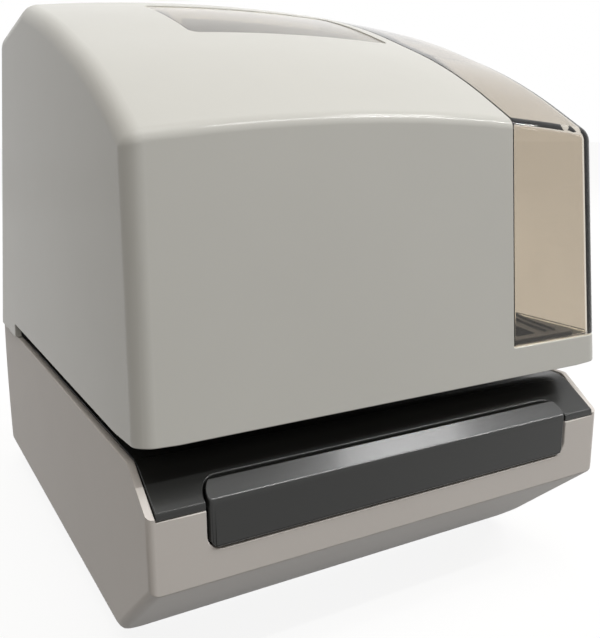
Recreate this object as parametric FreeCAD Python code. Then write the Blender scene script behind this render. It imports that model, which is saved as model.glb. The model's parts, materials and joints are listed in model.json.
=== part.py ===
import FreeCAD, Part
import math
import os
from FreeCAD import Vector

# Date and time stamp machine, in millimetres: x to the right, y to the back, z up.
# The origin is under the middle of the machine, on the surface that its feet stand on.

# Whole machine
machine_depth = 189.4
foot_height = 2.6
rim_z = 61.7                # top edge of the base
groove_height = 5.6         # open slot for the paper, between base and cover
parting_gap = 0.4           # hairline between base and cover behind the slot
groove_rear_inset = 38.7    # the slot ends this far before the rear, on both sides
groove_corner = 1.0
loose_fit = 0.2             # between pieces that drop into each other
running_fit = 0.05          # radial, shaft in bore
round_steps = 4             # flat strips that make up a rounded side edge
over = 1.0                  # how far a cutting tool reaches past the face that it cuts
pick = 0.01                 # tolerance for picking edges by their height

# Base housing
base_width = 145.2
base_wall = 2.0
form_rise = 40.0            # the base is formed this far past its rim, and trimmed
front_face_low_z = 33.7     # front face above, sloping underside below
underside_setback = 34.9    # how far back the underside reaches the bottom
underside_round = 12.0
front_wall_top_z = 51.4
rim_front_z = 53.0
rim_slope_length = 12.7
rim_front_round = 2.5
rim_rear_round = 4.0
rim_lip_slope = 0.2         # of the rim in front of its rounded edge
rear_lean = 16.5            # degrees, rear wall of base and cover
rear_bend_z = 44.0
rear_bend_radius = 183.0
low_side_round = 8.0
upright_round = 3.5
plate_edge = 10.0           # from the side of the base to the opening in its bottom
plate_front = 4.0           # from the end of the underside to the same opening
plate_rear = 1.0            # from the rear wall to the same opening
post_length = 9.0           # posts for the print bar's bracket
table_ledge = 3.0
table_ledge_depth = 2.5

# Base plate, feet and screws
steel_plate = 1.2
foot_radius = 6.5
foot_inset = 22.6           # from the side of the base to the middle of a foot
foot_front_inset = 48.7     # from the front face
foot_rear_inset = 14.7      # from the rear wall
screw_radius = 1.5
screw_head_radius = 2.8     # across the corners of its hexagon, halved
screw_head_height = 1.6
screw_inset = 14.0          # inside the feet, towards the middle
screw_grip = 4.0            # above the base plate

# Upper cover
cover_overhang = 0.9        # wider than the base on each side, over its lower edge
side_draft = 0.036
cover_wall = 2.5
cover_setback = 1.4         # front edge behind the front of the base
front_draft = 0.083
front_edge_lift = 0.9
corner_edge_lift = 1.9      # the lower edge rises towards the front corners
lift_length = 19.0          # over which it rises along the sides
lift_round = 30.0
lift_width = 10.0           # over which the front wall's lower edge rises at each corner
ridge_z = 136.9             # ridge between front face and top, at the sides
ridge_round = 4.5
top_front_run = 34.2        # from the front face
top_front_z = 152.6
top_front_round = 200.0
top_middle_run = 81.7
top_middle_z = 169.6
top_middle_round = 300.0
top_break_run = 110.7
top_break_z = 176.5
top_break_round = 12.0
top_rear_z = 171.6
top_rear_round = 6.0
top_round_sag = 1.5         # the rounded top lies this far below its corner points
crown_radius = 538.0        # the top is higher in the middle than at the sides
crown_steps = 4             # flat strips from the middle of the top to its rounded side
cover_edge_round = 3.8

# Smoked corner cover
smoke_width = 35.1
smoke_low_z = 76.9
smoke_rear_run = 4.0        # behind the break in the top
seam_gap = 0.25

# Window over the display
window_left_inset = 39.5    # from the side of the cover
window_seam_gap = 5.4
window_break_gap = 10.0
window_length = 42.0
window_recess = 0.9
window_ledge = 1.6
window_frame = 2.0
window_corner = 3.0
window_fit = 0.15
frame_margin = 2.0          # the frame under the window is wider than the window

# Cover hinge
knuckle_radius = 3.0
knuckle_gap = 0.4
hinge_inset = 30.6
hinge_half_length = 10.0
hinge_middle_half = 3.2
hinge_pin_radius = 1.25

# Paper table and what is set in it
table_drop = 0.3            # table top below the rim
table_wall = 2.0
table_rear_gap = 2.0        # before the end of the groove
table_front_inset = 0.1
table_edge_round = 1.0
table_front_z = 53.4
table_lip_z = 51.6
table_bend = 10.0
platen_width = 92.0
platen_length = 9.0
platen_depth = 1.2
print_inset = 32.7          # print line, from the front face

# Paper stop
stop_reach = 42.0           # behind the print line
stop_width = 30.0
stop_thickness = 2.0
stop_height = 5.0
stop_neck_width = 3.0
stop_neck_length = 5.0
stop_shoe_width = 16.0
stop_shoe_length = 12.0
stop_shoe_thickness = 1.8
stop_base_thickness = 1.2   # wide foot of the stop, on the table
stop_edge_round = 0.6
stop_travel = 30.0
slot_end_room = 1.0

# Print bar on the front
bar_side_inset = 14.1
bar_proud = 0.6             # in front of the base's front face
bar_low_z = 42.0
bar_front_z = 53.5
bar_top_z = 58.1            # before its rear edge is rounded
bar_top_depth = 5.6
bar_low_round = 1.0
bar_front_round = 1.2
bar_top_round = 0.5
bar_recess_gap = 1.0        # between the bar and the recess in the base, all round
bar_wall = 1.6
bar_travel = 1.0
bar_gap = 1.3
bar_corner = 5.0
bar_low_corner = 3.0
bar_stem_inset = 13.5
bar_stem_radius = 2.5
bar_stem_drop = 1.5         # below the middle of the bar's front face
bar_stem_run = 6.0          # behind the bracket's face
pusher_half_width = 4.0     # rib on the bar that reaches the switch
pusher_half_height = 1.5
bar_spring_radius = 3.6
bar_spring_wire = 0.6
weld = 0.0006               # tolerance for sewing up a spring
bar_spring_turns = 3.5
coil_sides = 12             # straight pieces in one turn of a spring
stroke_gap = 0.2            # left when the bar is pressed home
bracket_inset = 12.7
bracket_sheet = 1.6
bracket_low_z = 34.0
bracket_top_z = 50.0
bracket_end_gap = 2.5       # inside the ends of the bar
bracket_foot = 10.0
bracket_post_width = 8.0
switch_width = 12.8
switch_height = 6.5
switch_length = 10.0
switch_proud = 2.0          # in front of the bracket
switch_ear = 1.2
switch_pin_pitch = 4.0
switch_pin_width = 0.8
switch_pin_height = 2.4
switch_pin_length = 3.0

# Chassis
frame_inset = 12.6          # from the side of the base to a frame's outer face
frame_sheet = 1.5
frame_front_gap = 8.0       # behind the print line
frame_top_z = 104.0
frame_arm_setback = 18.0
frame_arm_top_z = 50.0
frame_post_gap = 3.0        # behind the end of the groove
frame_rear_gap = 3.0        # behind the frames, to the rear wall
frame_low_gap = 3.0         # more of it at their lower corner
frame_top_gap = 1.0         # more of it at their upper corner
frame_bend_round = 20.0
frame_rear_corner = 6.0
frame_front_corner = 8.0
frame_elbow_corner = 6.0
frame_arm_corner = 4.0
frame_window_edge = 12.0    # sheet left round the window in a frame's lower arm
frame_window_corner = 4.0
frame_inner_corner = 1.5    # corner behind the head plate, which ends before it
head_plate_drop = 1.2       # head plate above the cover's lower edge
head_plate_sheet = 1.5
head_plate_inset = 4.5      # inside the cover's side at its lower edge
head_plate_front_inset = 6.3
head_plate_rear_gap = 2.0   # before the frame posts
head_plate_corner = 6.0
cross_plate_gap = 2.0       # behind the fronts of the frame posts
cross_plate_rise = 20.0     # above the head plate
shaft_end = 2.0             # shaft and rail outside the frames
print_slot_room = 5.0       # beside the nose of the print head, at the ends of its travel
print_slot_length = 11.0

# Carriage drive
shaft_run = 20.0            # behind the print line
shaft_z = 88.0
shaft_radius = 3.0
rail_run = 22.0             # behind the shaft
rail_z = 92.0
rail_radius = 2.0
carriage_x = -5.0
carriage_half_width = 16.0
carriage_front_run = 8.5    # before the shaft
carriage_rear_run = 6.0     # behind the rail
carriage_low_run = 8.0      # behind the shaft, at its lower, stepped and upper edges
carriage_step_run = 14.0
carriage_top_run = 10.0
carriage_corner = 3.0
carriage_rail_corner = 2.0
carriage_top_corner = 4.0
carriage_low_z = 81.0
carriage_top_z = 98.0
carriage_travel = 30.0
rail_boss = 5.0             # half height of the carriage round its rail
arm_half_width = 7.0
arm_low_z = 88.0
arm_top_z = 94.0
arm_overlap = 2.0           # into the body of the carriage
belt_run = 24.0             # behind the rail
belt_low_z = 89.0
belt_width = 4.0
belt_thickness = 1.2
belt_fit = 0.1
pulley_radius = 6.0
pulley_flange = 0.8
pulley_flange_sheet = 0.8
pulley_teeth = 14
tooth_depth = 0.6
tooth_crest = 0.60          # share of the pitch that a tooth's crest takes, and each flank
tooth_flank = 0.06
pulley_gap = 0.2            # along the shaft, beside the belt and below the pulley
motor_gap = 3.0             # between motor and frame
motor_side = 35.0
motor_corner = 5.0
motor_height = 15.5
motor_boss_radius = 4.0
motor_boss_height = 1.2
motor_shaft_radius = 1.5
motor_shaft_floor = 2.0     # bottom of the motor under its shaft
shaft_proud = 3.0           # shaft and post above the belt
idler_gap = 12.5            # between frame and post
idler_post_radius = 2.0
idler_collar = 2.5

# Print head
head_half_width = 11.0
head_half_length = 10.0
head_corner = 3.0
head_low_z = 80.0
head_top_z = 100.0
head_neck_z = 74.0
head_lug_half_width = 9.0
head_lug_inset = 3.0
nose_width = 10.0
nose_length = 5.0
nose_gap = 0.6              # nose above the ribbon
head_fins = 5
head_fin_depth = 1.5
head_fin_gap = 1.6

# Ribbon cassette
cassette_height = 7.8
cassette_front_gap = 0.4    # behind the front edge of the head plate
cassette_pod_gap = 1.9      # the pod starts left of the seam
cassette_right_gap = 1.0    # from the ends of the head plate
cassette_left_gap = 11.0
cassette_frame_gap = 2.0
cassette_bridge = 12.0      # depth between arm and pod
cassette_arm_width = 12.0
cassette_arm_length = 18.0
cassette_corner = 4.0
cassette_edge = 0.8
cassette_pocket = 3.0
pocket_left_edge = 3.5
pocket_front_edge = 3.5
pocket_rear_edge = 4.0
pocket_rear_inset = 7.5     # swept edge of the pocket: rear, middle and front
pocket_middle_inset = 12.8
pocket_front_inset = 14.5
ribbon_gap = 0.3            # between ribbon and head plate
ribbon_thickness = 0.3
ribbon_width = 9.0
knob_inset = 9.5            # from the left side of the pod
knob_rear_inset = 12.0      # from its rear
knob_radius = 5.6
knob_rib_depth = 0.8
knob_ribs = 12
knob_height = 2.4
knob_seat = 0.3
spindle_radius = 2.0
spindle_floor = 1.0         # bottom of the cassette under the spindle

# Display, keys and boards
display_tilt = 17.0         # degrees
display_gap = 3.0           # between window frame and display
lcd_width = 62.0
lcd_length = 34.0
lcd_height = 6.0
glass_width = 56.0
glass_length = 20.0
glass_height = 1.1
glass_fit = 0.1             # round the glass, and below the face of its frame
board_sheet = 1.6
display_board_left = 24.0   # beside the window, for the keys
display_board_right = 2.0
display_board_length = 46.0
shelf_gap = 3.0
shelf_sheet = 1.5
key_inset = 10.0            # from the edge of the display board
key_pitch = 13.0
key_cap_side = 6.8
key_cap_edge = 0.5
key_cap_height = 1.6
key_stem_side = 3.0
key_stem_floor = 0.6
key_switch_side = 6.0
key_switch_height = 2.8
key_travel = 0.8
bracket_wall_y = 30.0
bracket_left_inset = 8.0    # from the left and right edges of the display board
bracket_right_inset = 1.0
bracket_front_inset = 4.0
bracket_foot_length = 12.0
main_board_inset = 12.0     # inside the left edge of the display board
board_edge_inset = 4.0      # main board inside the display board, on the right
chip_side = 14.0
chip_height = 2.0
chip_rise = 10.0            # above the middle of the board
chip_step = 2.0             # one chip higher than the next
connector_width = 14.0
connector_height = 8.0
connector_depth = 6.0
connector_inset = 10.0      # from the ends of the main board to a connector's middle
main_board_low_z = 108.0
main_board_top_z = 156.0
spacer_length = 4.0
spacer_radius = 2.5
spacer_edge = 5.0           # from the edges of the main board
display_spacer_front_y = -12.0
display_spacer_rear_y = 18.0
display_spacer_inset = 6.0
battery_radius = 7.0
battery_length = 22.0
battery_gap = 3.0           # beside the right connector
battery_z = 116.0

# Cover lock
lock_y = 38.0
lock_z = 95.0
lock_radius = 5.0
lock_depth = 11.0
lock_nut_radius = 8.0
lock_nut_thickness = 3.0
cam_length = 14.0
cam_half_width = 3.0
cam_sheet = 1.5
cam_corner = 2.0
lock_slot_width = 1.2
lock_slot_length = 5.2
lock_slot_depth = 1.5
lock_nut_gap = 0.3
keeper_reach = 11.5         # from the hinge side of the cam's tip
keeper_gap = 1.6            # over the locked cam
keeper_width = 5.0

# Power inlet
inlet_inset = 27.6          # from the side of the base
inlet_z = 16.0
inlet_half_width = 5.5
inlet_proud = 0.6
inlet_flange = 1.5          # wider than the body all round
inlet_length = 12.0
inlet_bore_radius = 2.85
inlet_bore_depth = 9.0
inlet_pin_radius = 1.0

# Worked out from the sizes above
front_y = -machine_depth / 2
rear_y = machine_depth / 2
half_base = base_width / 2
half_cover = half_base + cover_overhang
frame_x = half_base - frame_inset
foot_x = half_base - foot_inset
foot_front_y = front_y + foot_front_inset
foot_rear_y = rear_y - foot_rear_inset
inlet_x = inlet_inset - half_base
head_plate_half_width = half_cover - head_plate_inset
groove_rear_y = rear_y - groove_rear_inset
hinge_x = half_base - hinge_inset
base_low_z = foot_height
cover_low_z = rim_z + groove_height
ear_low_z = rim_z + parting_gap
plate_top_z = base_low_z + steel_plate
table_top_z = rim_z - table_drop
table_half = half_base - base_wall - loose_fit
table_rear_y = groove_rear_y - table_rear_gap
print_y = front_y + print_inset
stop_y = print_y + stop_reach
lean = math.tan(math.radians(rear_lean))
lift_start_y = front_y + lift_length
top_front_y = front_y + top_front_run
top_middle_y = front_y + top_middle_run
top_break_y = front_y + top_break_run
smoke_seam_x = half_cover - smoke_width
smoke_rear_y = top_break_y + smoke_rear_run
window_left_x = window_left_inset - half_cover
window_right_x = smoke_seam_x - window_seam_gap
window_width = window_right_x - window_left_x
window_x = (window_left_x + window_right_x) / 2
window_y = top_break_y - window_break_gap - window_length / 2
head_plate_z = cover_low_z + head_plate_drop
deck_z = head_plate_z + head_plate_sheet
bar_width = 2 * (half_base - bar_side_inset)
bar_front_y = front_y - bar_proud
bar_rear_y = bar_front_y + bar_top_depth
bar_stem_x = bar_width / 2 - bar_stem_inset
stem_z = (bar_low_z + bar_front_z) / 2 - bar_stem_drop
bracket_y = front_y + bracket_inset
bracket_half_width = bar_width / 2 - bracket_end_gap
bar_stem_end_y = bracket_y + bar_stem_run
switch_front_y = bracket_y - switch_proud
frame_front_y = print_y + frame_front_gap
frame_arm_front_y = frame_front_y + frame_arm_setback
frame_post_front_y = groove_rear_y + frame_post_gap
head_plate_front_y = front_y + head_plate_front_inset
head_plate_rear_y = frame_post_front_y - head_plate_rear_gap
print_slot_width = 2 * (carriage_travel + nose_width / 2 + print_slot_room)
shaft_y = print_y + shaft_run
rail_y = shaft_y + rail_run
belt_y = rail_y + belt_run
carriage_front_y = shaft_y - carriage_front_run
carriage_rear_y = rail_y + carriage_rear_run
motor_x = motor_side / 2 + motor_gap + frame_sheet - frame_x
idler_x = frame_x - frame_sheet - idler_gap
ribbon_z = deck_z + ribbon_gap
cassette_top_z = deck_z + cassette_height
cassette_front_y = head_plate_front_y + cassette_front_gap
cassette_left_x = cassette_left_gap - head_plate_half_width
cassette_right_x = head_plate_half_width - cassette_right_gap
cassette_pod_x = smoke_seam_x - cassette_pod_gap
cassette_pod_rear_y = frame_front_y - cassette_frame_gap
cassette_arm_rear_y = cassette_front_y + cassette_bridge
knob_x = cassette_pod_x + knob_inset
knob_y = cassette_pod_rear_y - knob_rear_inset
display_board_left_x = window_left_x - display_board_left
display_board_right_x = window_right_x + display_board_right
key_x = display_board_left_x + key_inset
far = 400.0                 # longer than anything here, for cutting tools


def box(x0, x1, y0, y1, z0, z1):
    return Part.makeBox(x1 - x0, y1 - y0, z1 - z0, Vector(x0, y0, z0))


def rod(x, y, z, direction, radius, length):
    return Part.makeCylinder(radius, length, Vector(x, y, z), Vector(*direction))


def inset(corners, depth):
    """Move every side of a closed outline inwards; rounded corners shrink or grow to match.
    depth is one number, or a list with one for the side after each corner."""
    count = len(corners)
    depths = depth if isinstance(depth, list) else [depth] * count
    area = 0.0
    lines = []
    for index in range(count):
        a, b, _ = corners[index]
        c, d, _ = corners[(index + 1) % count]
        area += a * d - c * b
    turn_way = 1 if area > 0 else -1
    for index in range(count):
        a, b, _ = corners[index]
        c, d, _ = corners[(index + 1) % count]
        length = math.hypot(c - a, d - b)
        along = ((c - a) / length, (d - b) / length)
        shift = turn_way * depths[index]
        lines.append((a - along[1] * shift, b + along[0] * shift, along[0], along[1]))
    moved = []
    for index in range(count):
        x0, y0, ux, uy = lines[index - 1]
        x1, y1, vx, vy = lines[index]
        turn = ux * vy - uy * vx
        step = ((x1 - x0) * vy - (y1 - y0) * vx) / turn
        radius = corners[index][2]
        if radius:
            least = min(depths[index - 1], depths[index])
            radius = max(radius - least, 0.0) if turn * turn_way > 0 else radius + least
        moved.append((x0 + ux * step, y0 + uy * step, radius))
    return moved


def outline(corners, place):
    """Closed wire through (a, b, radius) corners; place turns (a, b) into a point in space."""
    count = len(corners)
    bends = []
    for index in range(count):
        a, b, radius = corners[index]
        here = Vector(a, b, 0)
        if radius == 0:
            bends.append((here, None, here))
            continue
        before = Vector(*corners[index - 1][:2], 0)
        after = Vector(*corners[(index + 1) % count][:2], 0)
        back = (before - here).normalize()
        onward = (after - here).normalize()
        half = back.getAngle(onward) / 2
        reach = radius / math.tan(half)
        middle = (back + onward).normalize() * (radius / math.sin(half) - radius)
        bends.append((here + back * reach, here + middle, here + onward * reach))
    edges = []
    for index in range(count):
        start, middle, end = bends[index]
        if middle is not None:
            edges.append(Part.Arc(place(start), place(middle), place(end)).toShape())
        onward = bends[(index + 1) % count][0]
        edges.append(Part.LineSegment(place(end), place(onward)).toShape())
    return Part.Wire(edges)


def prism_x(corners, x0, x1):
    """Side view outline of (y, z, radius) corners, from x0 to x1."""
    wire = outline(corners, lambda p: Vector(x0, p.x, p.y))
    return Part.Face(wire).extrude(Vector(x1 - x0, 0, 0))


def prism_y(corners, y0, y1):
    """Front view outline of (x, z, radius) corners, from y0 to y1."""
    wire = outline(corners, lambda p: Vector(p.x, y0, p.y))
    return Part.Face(wire).extrude(Vector(0, y1 - y0, 0))


def prism_z(corners, z0, z1):
    """Top view outline of (x, y, radius) corners, from z0 to z1."""
    wire = outline(corners, lambda p: Vector(p.x, p.y, z0))
    return Part.Face(wire).extrude(Vector(0, 0, z1 - z0))


def rectangle(x0, x1, y0, y1, radius=0.0):
    return [(x0, y0, radius), (x1, y0, radius), (x1, y1, radius), (x0, y1, radius)]


def ring(points_at, make):
    """The same small solid at several places, as one group."""
    return Part.makeCompound([make(*point) for point in points_at])


def hexagon(x, y, radius, z0, z1):
    """Upright hexagonal bar; radius is half its width across corners."""
    corners = []
    sides = 6
    for index in range(sides):
        angle = 2 * math.pi * index / sides
        corners.append((x + radius * math.cos(angle), y + radius * math.sin(angle), 0))
    return prism_z(corners, z0, z1)


def edge_depth(radius, offset):
    """How far a side that is rounded to radius lies inwards, at a distance offset from its end."""
    reach = max(radius - offset, 0.0)
    return radius - math.sqrt(radius * radius - reach * reach)


def loft_across(side_at, rounds, half_at, depth, middle_steps):
    """Solid through side views from the left end to the right, with rounded side edges.
    side_at(x) gives the side view at x, rounds how far the edge of each of its sides is rounded,
    and half_at(z) half the width. depth moves every wall inwards."""
    radii = [max(radius - depth, 0.0) for radius in rounds]
    widest = max(radii)
    quarter = math.pi / 2
    steps = round_steps if depth == 0 else round_steps // 2
    offsets = [widest * (1 - math.cos(quarter * index / steps)) for index in range(steps + 1)]
    if widest == 0:
        offsets = [0.0]
    # each section lies at a distance from the end face, and at a share of the half width left there
    left = [(offset, -1.0) for offset in offsets]
    left += [(widest, -index / middle_steps) for index in range(middle_steps - 1, 0, -1)]
    middle = [(widest, 0.0)] if middle_steps else []
    right = [(offset, -share) for offset, share in reversed(left)]
    sections = []
    for offset, share in left + middle + right:
        x = (half_at(top_break_z) - depth - offset) * share
        depths = [depth + edge_depth(radius, offset) for radius in radii]
        corners = inset(side_at(x), depths)
        sections.append(outline(corners, lambda p, offset=offset, share=share: Vector(
            (half_at(p.y) - depth - offset) * share, p.x, p.y)))
    return Part.makeLoft(sections, True, True)


def rear_wall_y(z):
    """Outer face of the rear wall above its bend."""
    return rear_y - (z - rear_bend_z) * lean


def parting_rear_y():
    """Outer face of the rear wall at the hairline, which is inside the bend."""
    sine = (rim_z - rear_bend_z + rear_bend_radius * math.tan(math.radians(rear_lean / 2)))
    sine = sine / rear_bend_radius
    return rear_y - rear_bend_radius * (1 - math.sqrt(1 - sine * sine))


hinge_y = parting_rear_y()
hinge_z = rim_z + parting_gap / 2


# ---- Base ----

def base_side():
    """Side view of the base, carried up past its rim."""
    high = rim_z + form_rise
    return [
        (front_y + underside_setback, base_low_z, underside_round),
        (rear_y, base_low_z, 0),
        (rear_y, rear_bend_z, rear_bend_radius),
        (rear_wall_y(high), high, 0),
        (front_y, high, 0),
        (front_y, front_face_low_z, 0),
    ]


def base_form(depth):
    """Outer form of the base, or the same form with every wall moved inwards by depth."""
    rounds = [low_side_round, upright_round, upright_round, upright_round, upright_round, low_side_round]
    return loft_across(lambda x: base_side(), rounds, lambda z: half_base, depth, 0)


def above_rim():
    """Everything above the base's rim: level at the sides, sloping down to the front."""
    slope_y = front_y + rim_slope_length
    return prism_x([
        (far, rim_z, 0),
        (slope_y, rim_z, rim_rear_round),
        (front_y, rim_front_z, rim_front_round),
        (front_y - far, rim_front_z - far * rim_lip_slope, 0),
        (front_y - far, far, 0),
        (far, far, 0),
    ], -far, far)


def hinge_rods(half_length, gap, ends):
    """Cylinders round the hinge line: the two end knuckles of each hinge, or its middle one."""
    solids = []
    for x in (-hinge_x, hinge_x):
        spans = [(-half_length, half_length)]
        if ends:
            inner = hinge_middle_half + loose_fit
            spans = [(-half_length, -inner), (inner, half_length)]
        for start, stop in spans:
            radius = knuckle_radius + gap
            grow = gap / 2 if gap else 0
            solids.append(rod(x + start - grow, hinge_y, hinge_z, (1, 0, 0), radius,
                              stop - start + 2 * grow))
    return solids


def bar_post(side):
    """Post that carries the print bar's bracket, standing on the sloping underside."""
    x = side * (bracket_half_width - bracket_post_width / 2)
    half = bracket_post_width / 2
    post = box(x - half, x + half, bracket_y, bracket_y + post_length, base_low_z, bracket_low_z)
    return post.common(base_form(base_wall / 2))


def base_opening(gap):
    """Corners of the opening in the bottom of the base, or of the plate that fits it."""
    half = half_base - plate_edge - gap
    front = front_y + underside_setback + plate_front + gap
    return -half, half, front, rear_y - base_wall - plate_rear - gap


def make_base_housing():
    bottom = box(*base_opening(0), 0, base_low_z + base_wall + over)
    shell = base_form(0).cut(base_form(base_wall)).cut(bottom).cut(above_rim())
    # the front wall is lower than the side walls, for the lip of the paper table
    front_wall = box(-half_base + base_wall, half_base - base_wall, front_y - over,
                     front_y + base_wall + over, front_wall_top_z, far)
    shell = shell.cut(front_wall)
    # recess for the print bar
    recess = bar_width / 2 + bar_recess_gap
    low = bar_low_z - bar_recess_gap
    corner = bar_low_corner + bar_recess_gap
    shell = shell.cut(prism_y([
        (-recess, low, corner), (recess, low, corner), (recess, far, 0), (-recess, far, 0),
    ], front_y - over, front_y + base_wall + over))
    # ledges that carry the table along both sides
    ledge_low = table_lip_z - loose_fit - table_ledge_depth
    inner = half_base - base_wall
    for side in (-1, 1):
        x = sorted((side * (inner + base_wall / 2), side * (inner - table_ledge)))
        ledge = box(x[0], x[1], front_y + base_wall / 2, table_rear_y,
                    ledge_low, table_lip_z)
        shell = shell.fuse(ledge.common(base_form(base_wall / 2)))
        shell = shell.fuse(bar_post(side))
    # hinge knuckles on the rear wall, with room for the cover's own
    for knuckle in hinge_rods(hinge_half_length, 0, True):
        shell = shell.fuse(knuckle)
    for room in hinge_rods(hinge_middle_half, knuckle_gap, False):
        shell = shell.cut(room)
    for x in (-hinge_x, hinge_x):
        shell = shell.cut(rod(x - hinge_half_length - over, hinge_y, hinge_z, (1, 0, 0),
                              hinge_pin_radius, 2 * (hinge_half_length + over)))
    return shell.cut(inlet_body(loose_fit, base_wall + over, over)).removeSplitter()


def make_base_plate():
    plate = box(*base_opening(loose_fit), base_low_z, plate_top_z)
    for x, y in screw_places():
        plate = plate.cut(rod(x, y, 0, (0, 0, 1), screw_radius + loose_fit, plate_top_z + over))
    return plate


def foot_places():
    return [(x, y) for x in (-foot_x, foot_x) for y in (foot_front_y, foot_rear_y)]


def screw_places():
    x = foot_x - screw_inset
    return [(-x, foot_front_y), (-x, foot_rear_y), (x, foot_front_y), (x, foot_rear_y)]


def make_rubber_feet():
    """Four rubber discs, stuck to the base plate."""
    return ring(foot_places(), lambda x, y: rod(x, y, 0, (0, 0, 1), foot_radius, base_low_z))


def make_base_screws():
    def screw(x, y):
        head = hexagon(x, y, screw_head_radius, base_low_z - screw_head_height, base_low_z)
        shank = rod(x, y, base_low_z - screw_head_height / 2, (0, 0, 1), screw_radius,
                    screw_head_height / 2 + steel_plate + screw_grip)
        return head.fuse(shank).removeSplitter()
    return ring(screw_places(), screw)


# ---- Paper table, platen and stop ----

def table_side():
    low = table_lip_z - table_bend    # below the lip, and cut away again
    return [
        (table_rear_y, table_top_z, table_edge_round),
        (front_y + rim_slope_length, table_top_z, table_bend),
        (front_y + table_front_inset, table_front_z, table_edge_round),
        (front_y + table_front_inset, low, 0),
        (table_rear_y, low, 0),
    ]


def bar_notch():
    """Cut-out of the table round the print bar, seen from above."""
    half = bar_width / 2 + bar_recess_gap
    rear = front_y - bar_proud + bar_top_depth + bar_gap
    front = front_y - bar_top_depth
    return prism_z([(-half, front, 0), (half, front, 0), (half, rear, bar_corner), (-half, rear, bar_corner)],
                   0, far)


def stop_slot():
    """Slot in the table that the stop's neck slides along."""
    half = stop_neck_width / 2 + loose_fit
    reach = stop_neck_length / 2 + slot_end_room
    return prism_z(rectangle(-half, half, stop_y - reach, stop_y + stop_travel + reach),
                   table_top_z - table_wall - over, table_top_z + over)


def make_paper_table():
    tray = prism_x(table_side(), -table_half, table_half)
    hollow_half = table_half - table_wall
    tray = tray.cut(prism_x(inset(table_side(), table_wall), -hollow_half, hollow_half))
    tray = tray.cut(box(-far, far, -far, far, 0, table_lip_z))
    tray = tray.cut(bar_notch())
    half = platen_width / 2 + loose_fit
    reach = platen_length / 2 + loose_fit
    tray = tray.cut(box(-half, half, print_y - reach, print_y + reach,
                        table_top_z - platen_depth, table_top_z + over))
    return tray.cut(stop_slot()).removeSplitter()


def make_platen_pad():
    half = platen_width / 2
    reach = platen_length / 2
    return box(-half, half, print_y - reach, print_y + reach, table_top_z - platen_depth, table_top_z)


def make_paper_stop():
    neck_low = table_top_z - table_wall - loose_fit
    table = table_top_z + loose_fit
    half = stop_width / 2
    reach = stop_neck_length / 2
    tab = box(-half, half, stop_y - stop_thickness / 2, stop_y + stop_thickness / 2,
              table, table_top_z + stop_height)
    top = [edge for edge in tab.Edges if edge.BoundBox.ZMin > table_top_z + stop_height - pick]
    tab = tab.makeChamfer(stop_edge_round, top)
    neck = box(-stop_neck_width / 2, stop_neck_width / 2, stop_y - reach, stop_y + reach,
               neck_low, table + stop_base_thickness / 2)
    foot = box(-stop_neck_width, stop_neck_width, stop_y - reach, stop_y + reach,
               table, table + stop_base_thickness)
    shoe = box(-stop_shoe_width / 2, stop_shoe_width / 2, stop_y - stop_shoe_length / 2,
               stop_y + stop_shoe_length / 2, neck_low - stop_shoe_thickness, neck_low)
    return tab.fuse(foot).fuse(neck).fuse(shoe).removeSplitter()


# ---- Print bar ----

def bar_side():
    return [
        (bar_front_y, bar_low_z, bar_low_round),
        (bar_front_y, bar_front_z, bar_front_round),
        (bar_rear_y, bar_top_z, bar_top_round),
        (bar_rear_y, bar_low_z, 0.0),
    ]


def make_print_bar():
    half = bar_width / 2
    bar = prism_x(bar_side(), -half, half)
    # rounded ends: lower front corners in front view, rear corners in top view
    bar = bar.common(prism_y([
        (-half, bar_low_z, bar_low_corner), (half, bar_low_z, bar_low_corner),
        (half, far, 0), (-half, far, 0),
    ], bar_front_y - over, bar_rear_y + over))
    corner = bar_corner - bar_recess_gap
    bar = bar.common(prism_z([
        (-half, bar_front_y - bar_top_depth, 0), (half, bar_front_y - bar_top_depth, 0),
        (half, bar_rear_y, corner), (-half, bar_rear_y, corner),
    ], 0, far))
    # hollow, open to the rear
    hollow_half = half - 2 * bar_wall
    open_y = bar_rear_y + bar_top_depth
    side = bar_side()[:3] + [(open_y, bar_top_z, 0.0), (open_y, bar_low_z, 0.0)]
    hollow = prism_x(inset(side, bar_wall), -hollow_half, hollow_half)
    bar = bar.cut(hollow.common(box(-far, far, -far, far, 0, bar_front_z)))
    # stems that guide the bar, and the rib that reaches the switch
    start = bar_front_y + bar_wall / 2
    for x in (-bar_stem_x, bar_stem_x):
        bar = bar.fuse(rod(x, start, stem_z, (0, 1, 0), bar_stem_radius, bar_stem_end_y - start))
    pusher_end = switch_front_y - bar_travel - stroke_gap
    bar = bar.fuse(box(-pusher_half_width, pusher_half_width, start, pusher_end,
                       stem_z - pusher_half_height, stem_z + pusher_half_height))
    return bar.removeSplitter()


def make_bar_bracket():
    wall = box(-bracket_half_width, bracket_half_width, bracket_y, bracket_y + bracket_sheet,
               bracket_low_z, bracket_top_z)
    foot = box(-bracket_half_width, bracket_half_width, bracket_y, bracket_y + bracket_foot,
               bracket_low_z, bracket_low_z + bracket_sheet)
    sheet = wall.fuse(foot)
    for x in (-bar_stem_x, bar_stem_x):
        sheet = sheet.cut(rod(x, bracket_y - over, stem_z, (0, 1, 0),
                              bar_stem_radius + running_fit, bracket_sheet + 2 * over))
    half = switch_width / 2 + loose_fit
    reach = switch_height / 2 + loose_fit
    sheet = sheet.cut(box(-half, half, bracket_y - over, bracket_y + bracket_sheet + over,
                          stem_z - reach, stem_z + reach))
    return sheet.removeSplitter()


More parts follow.
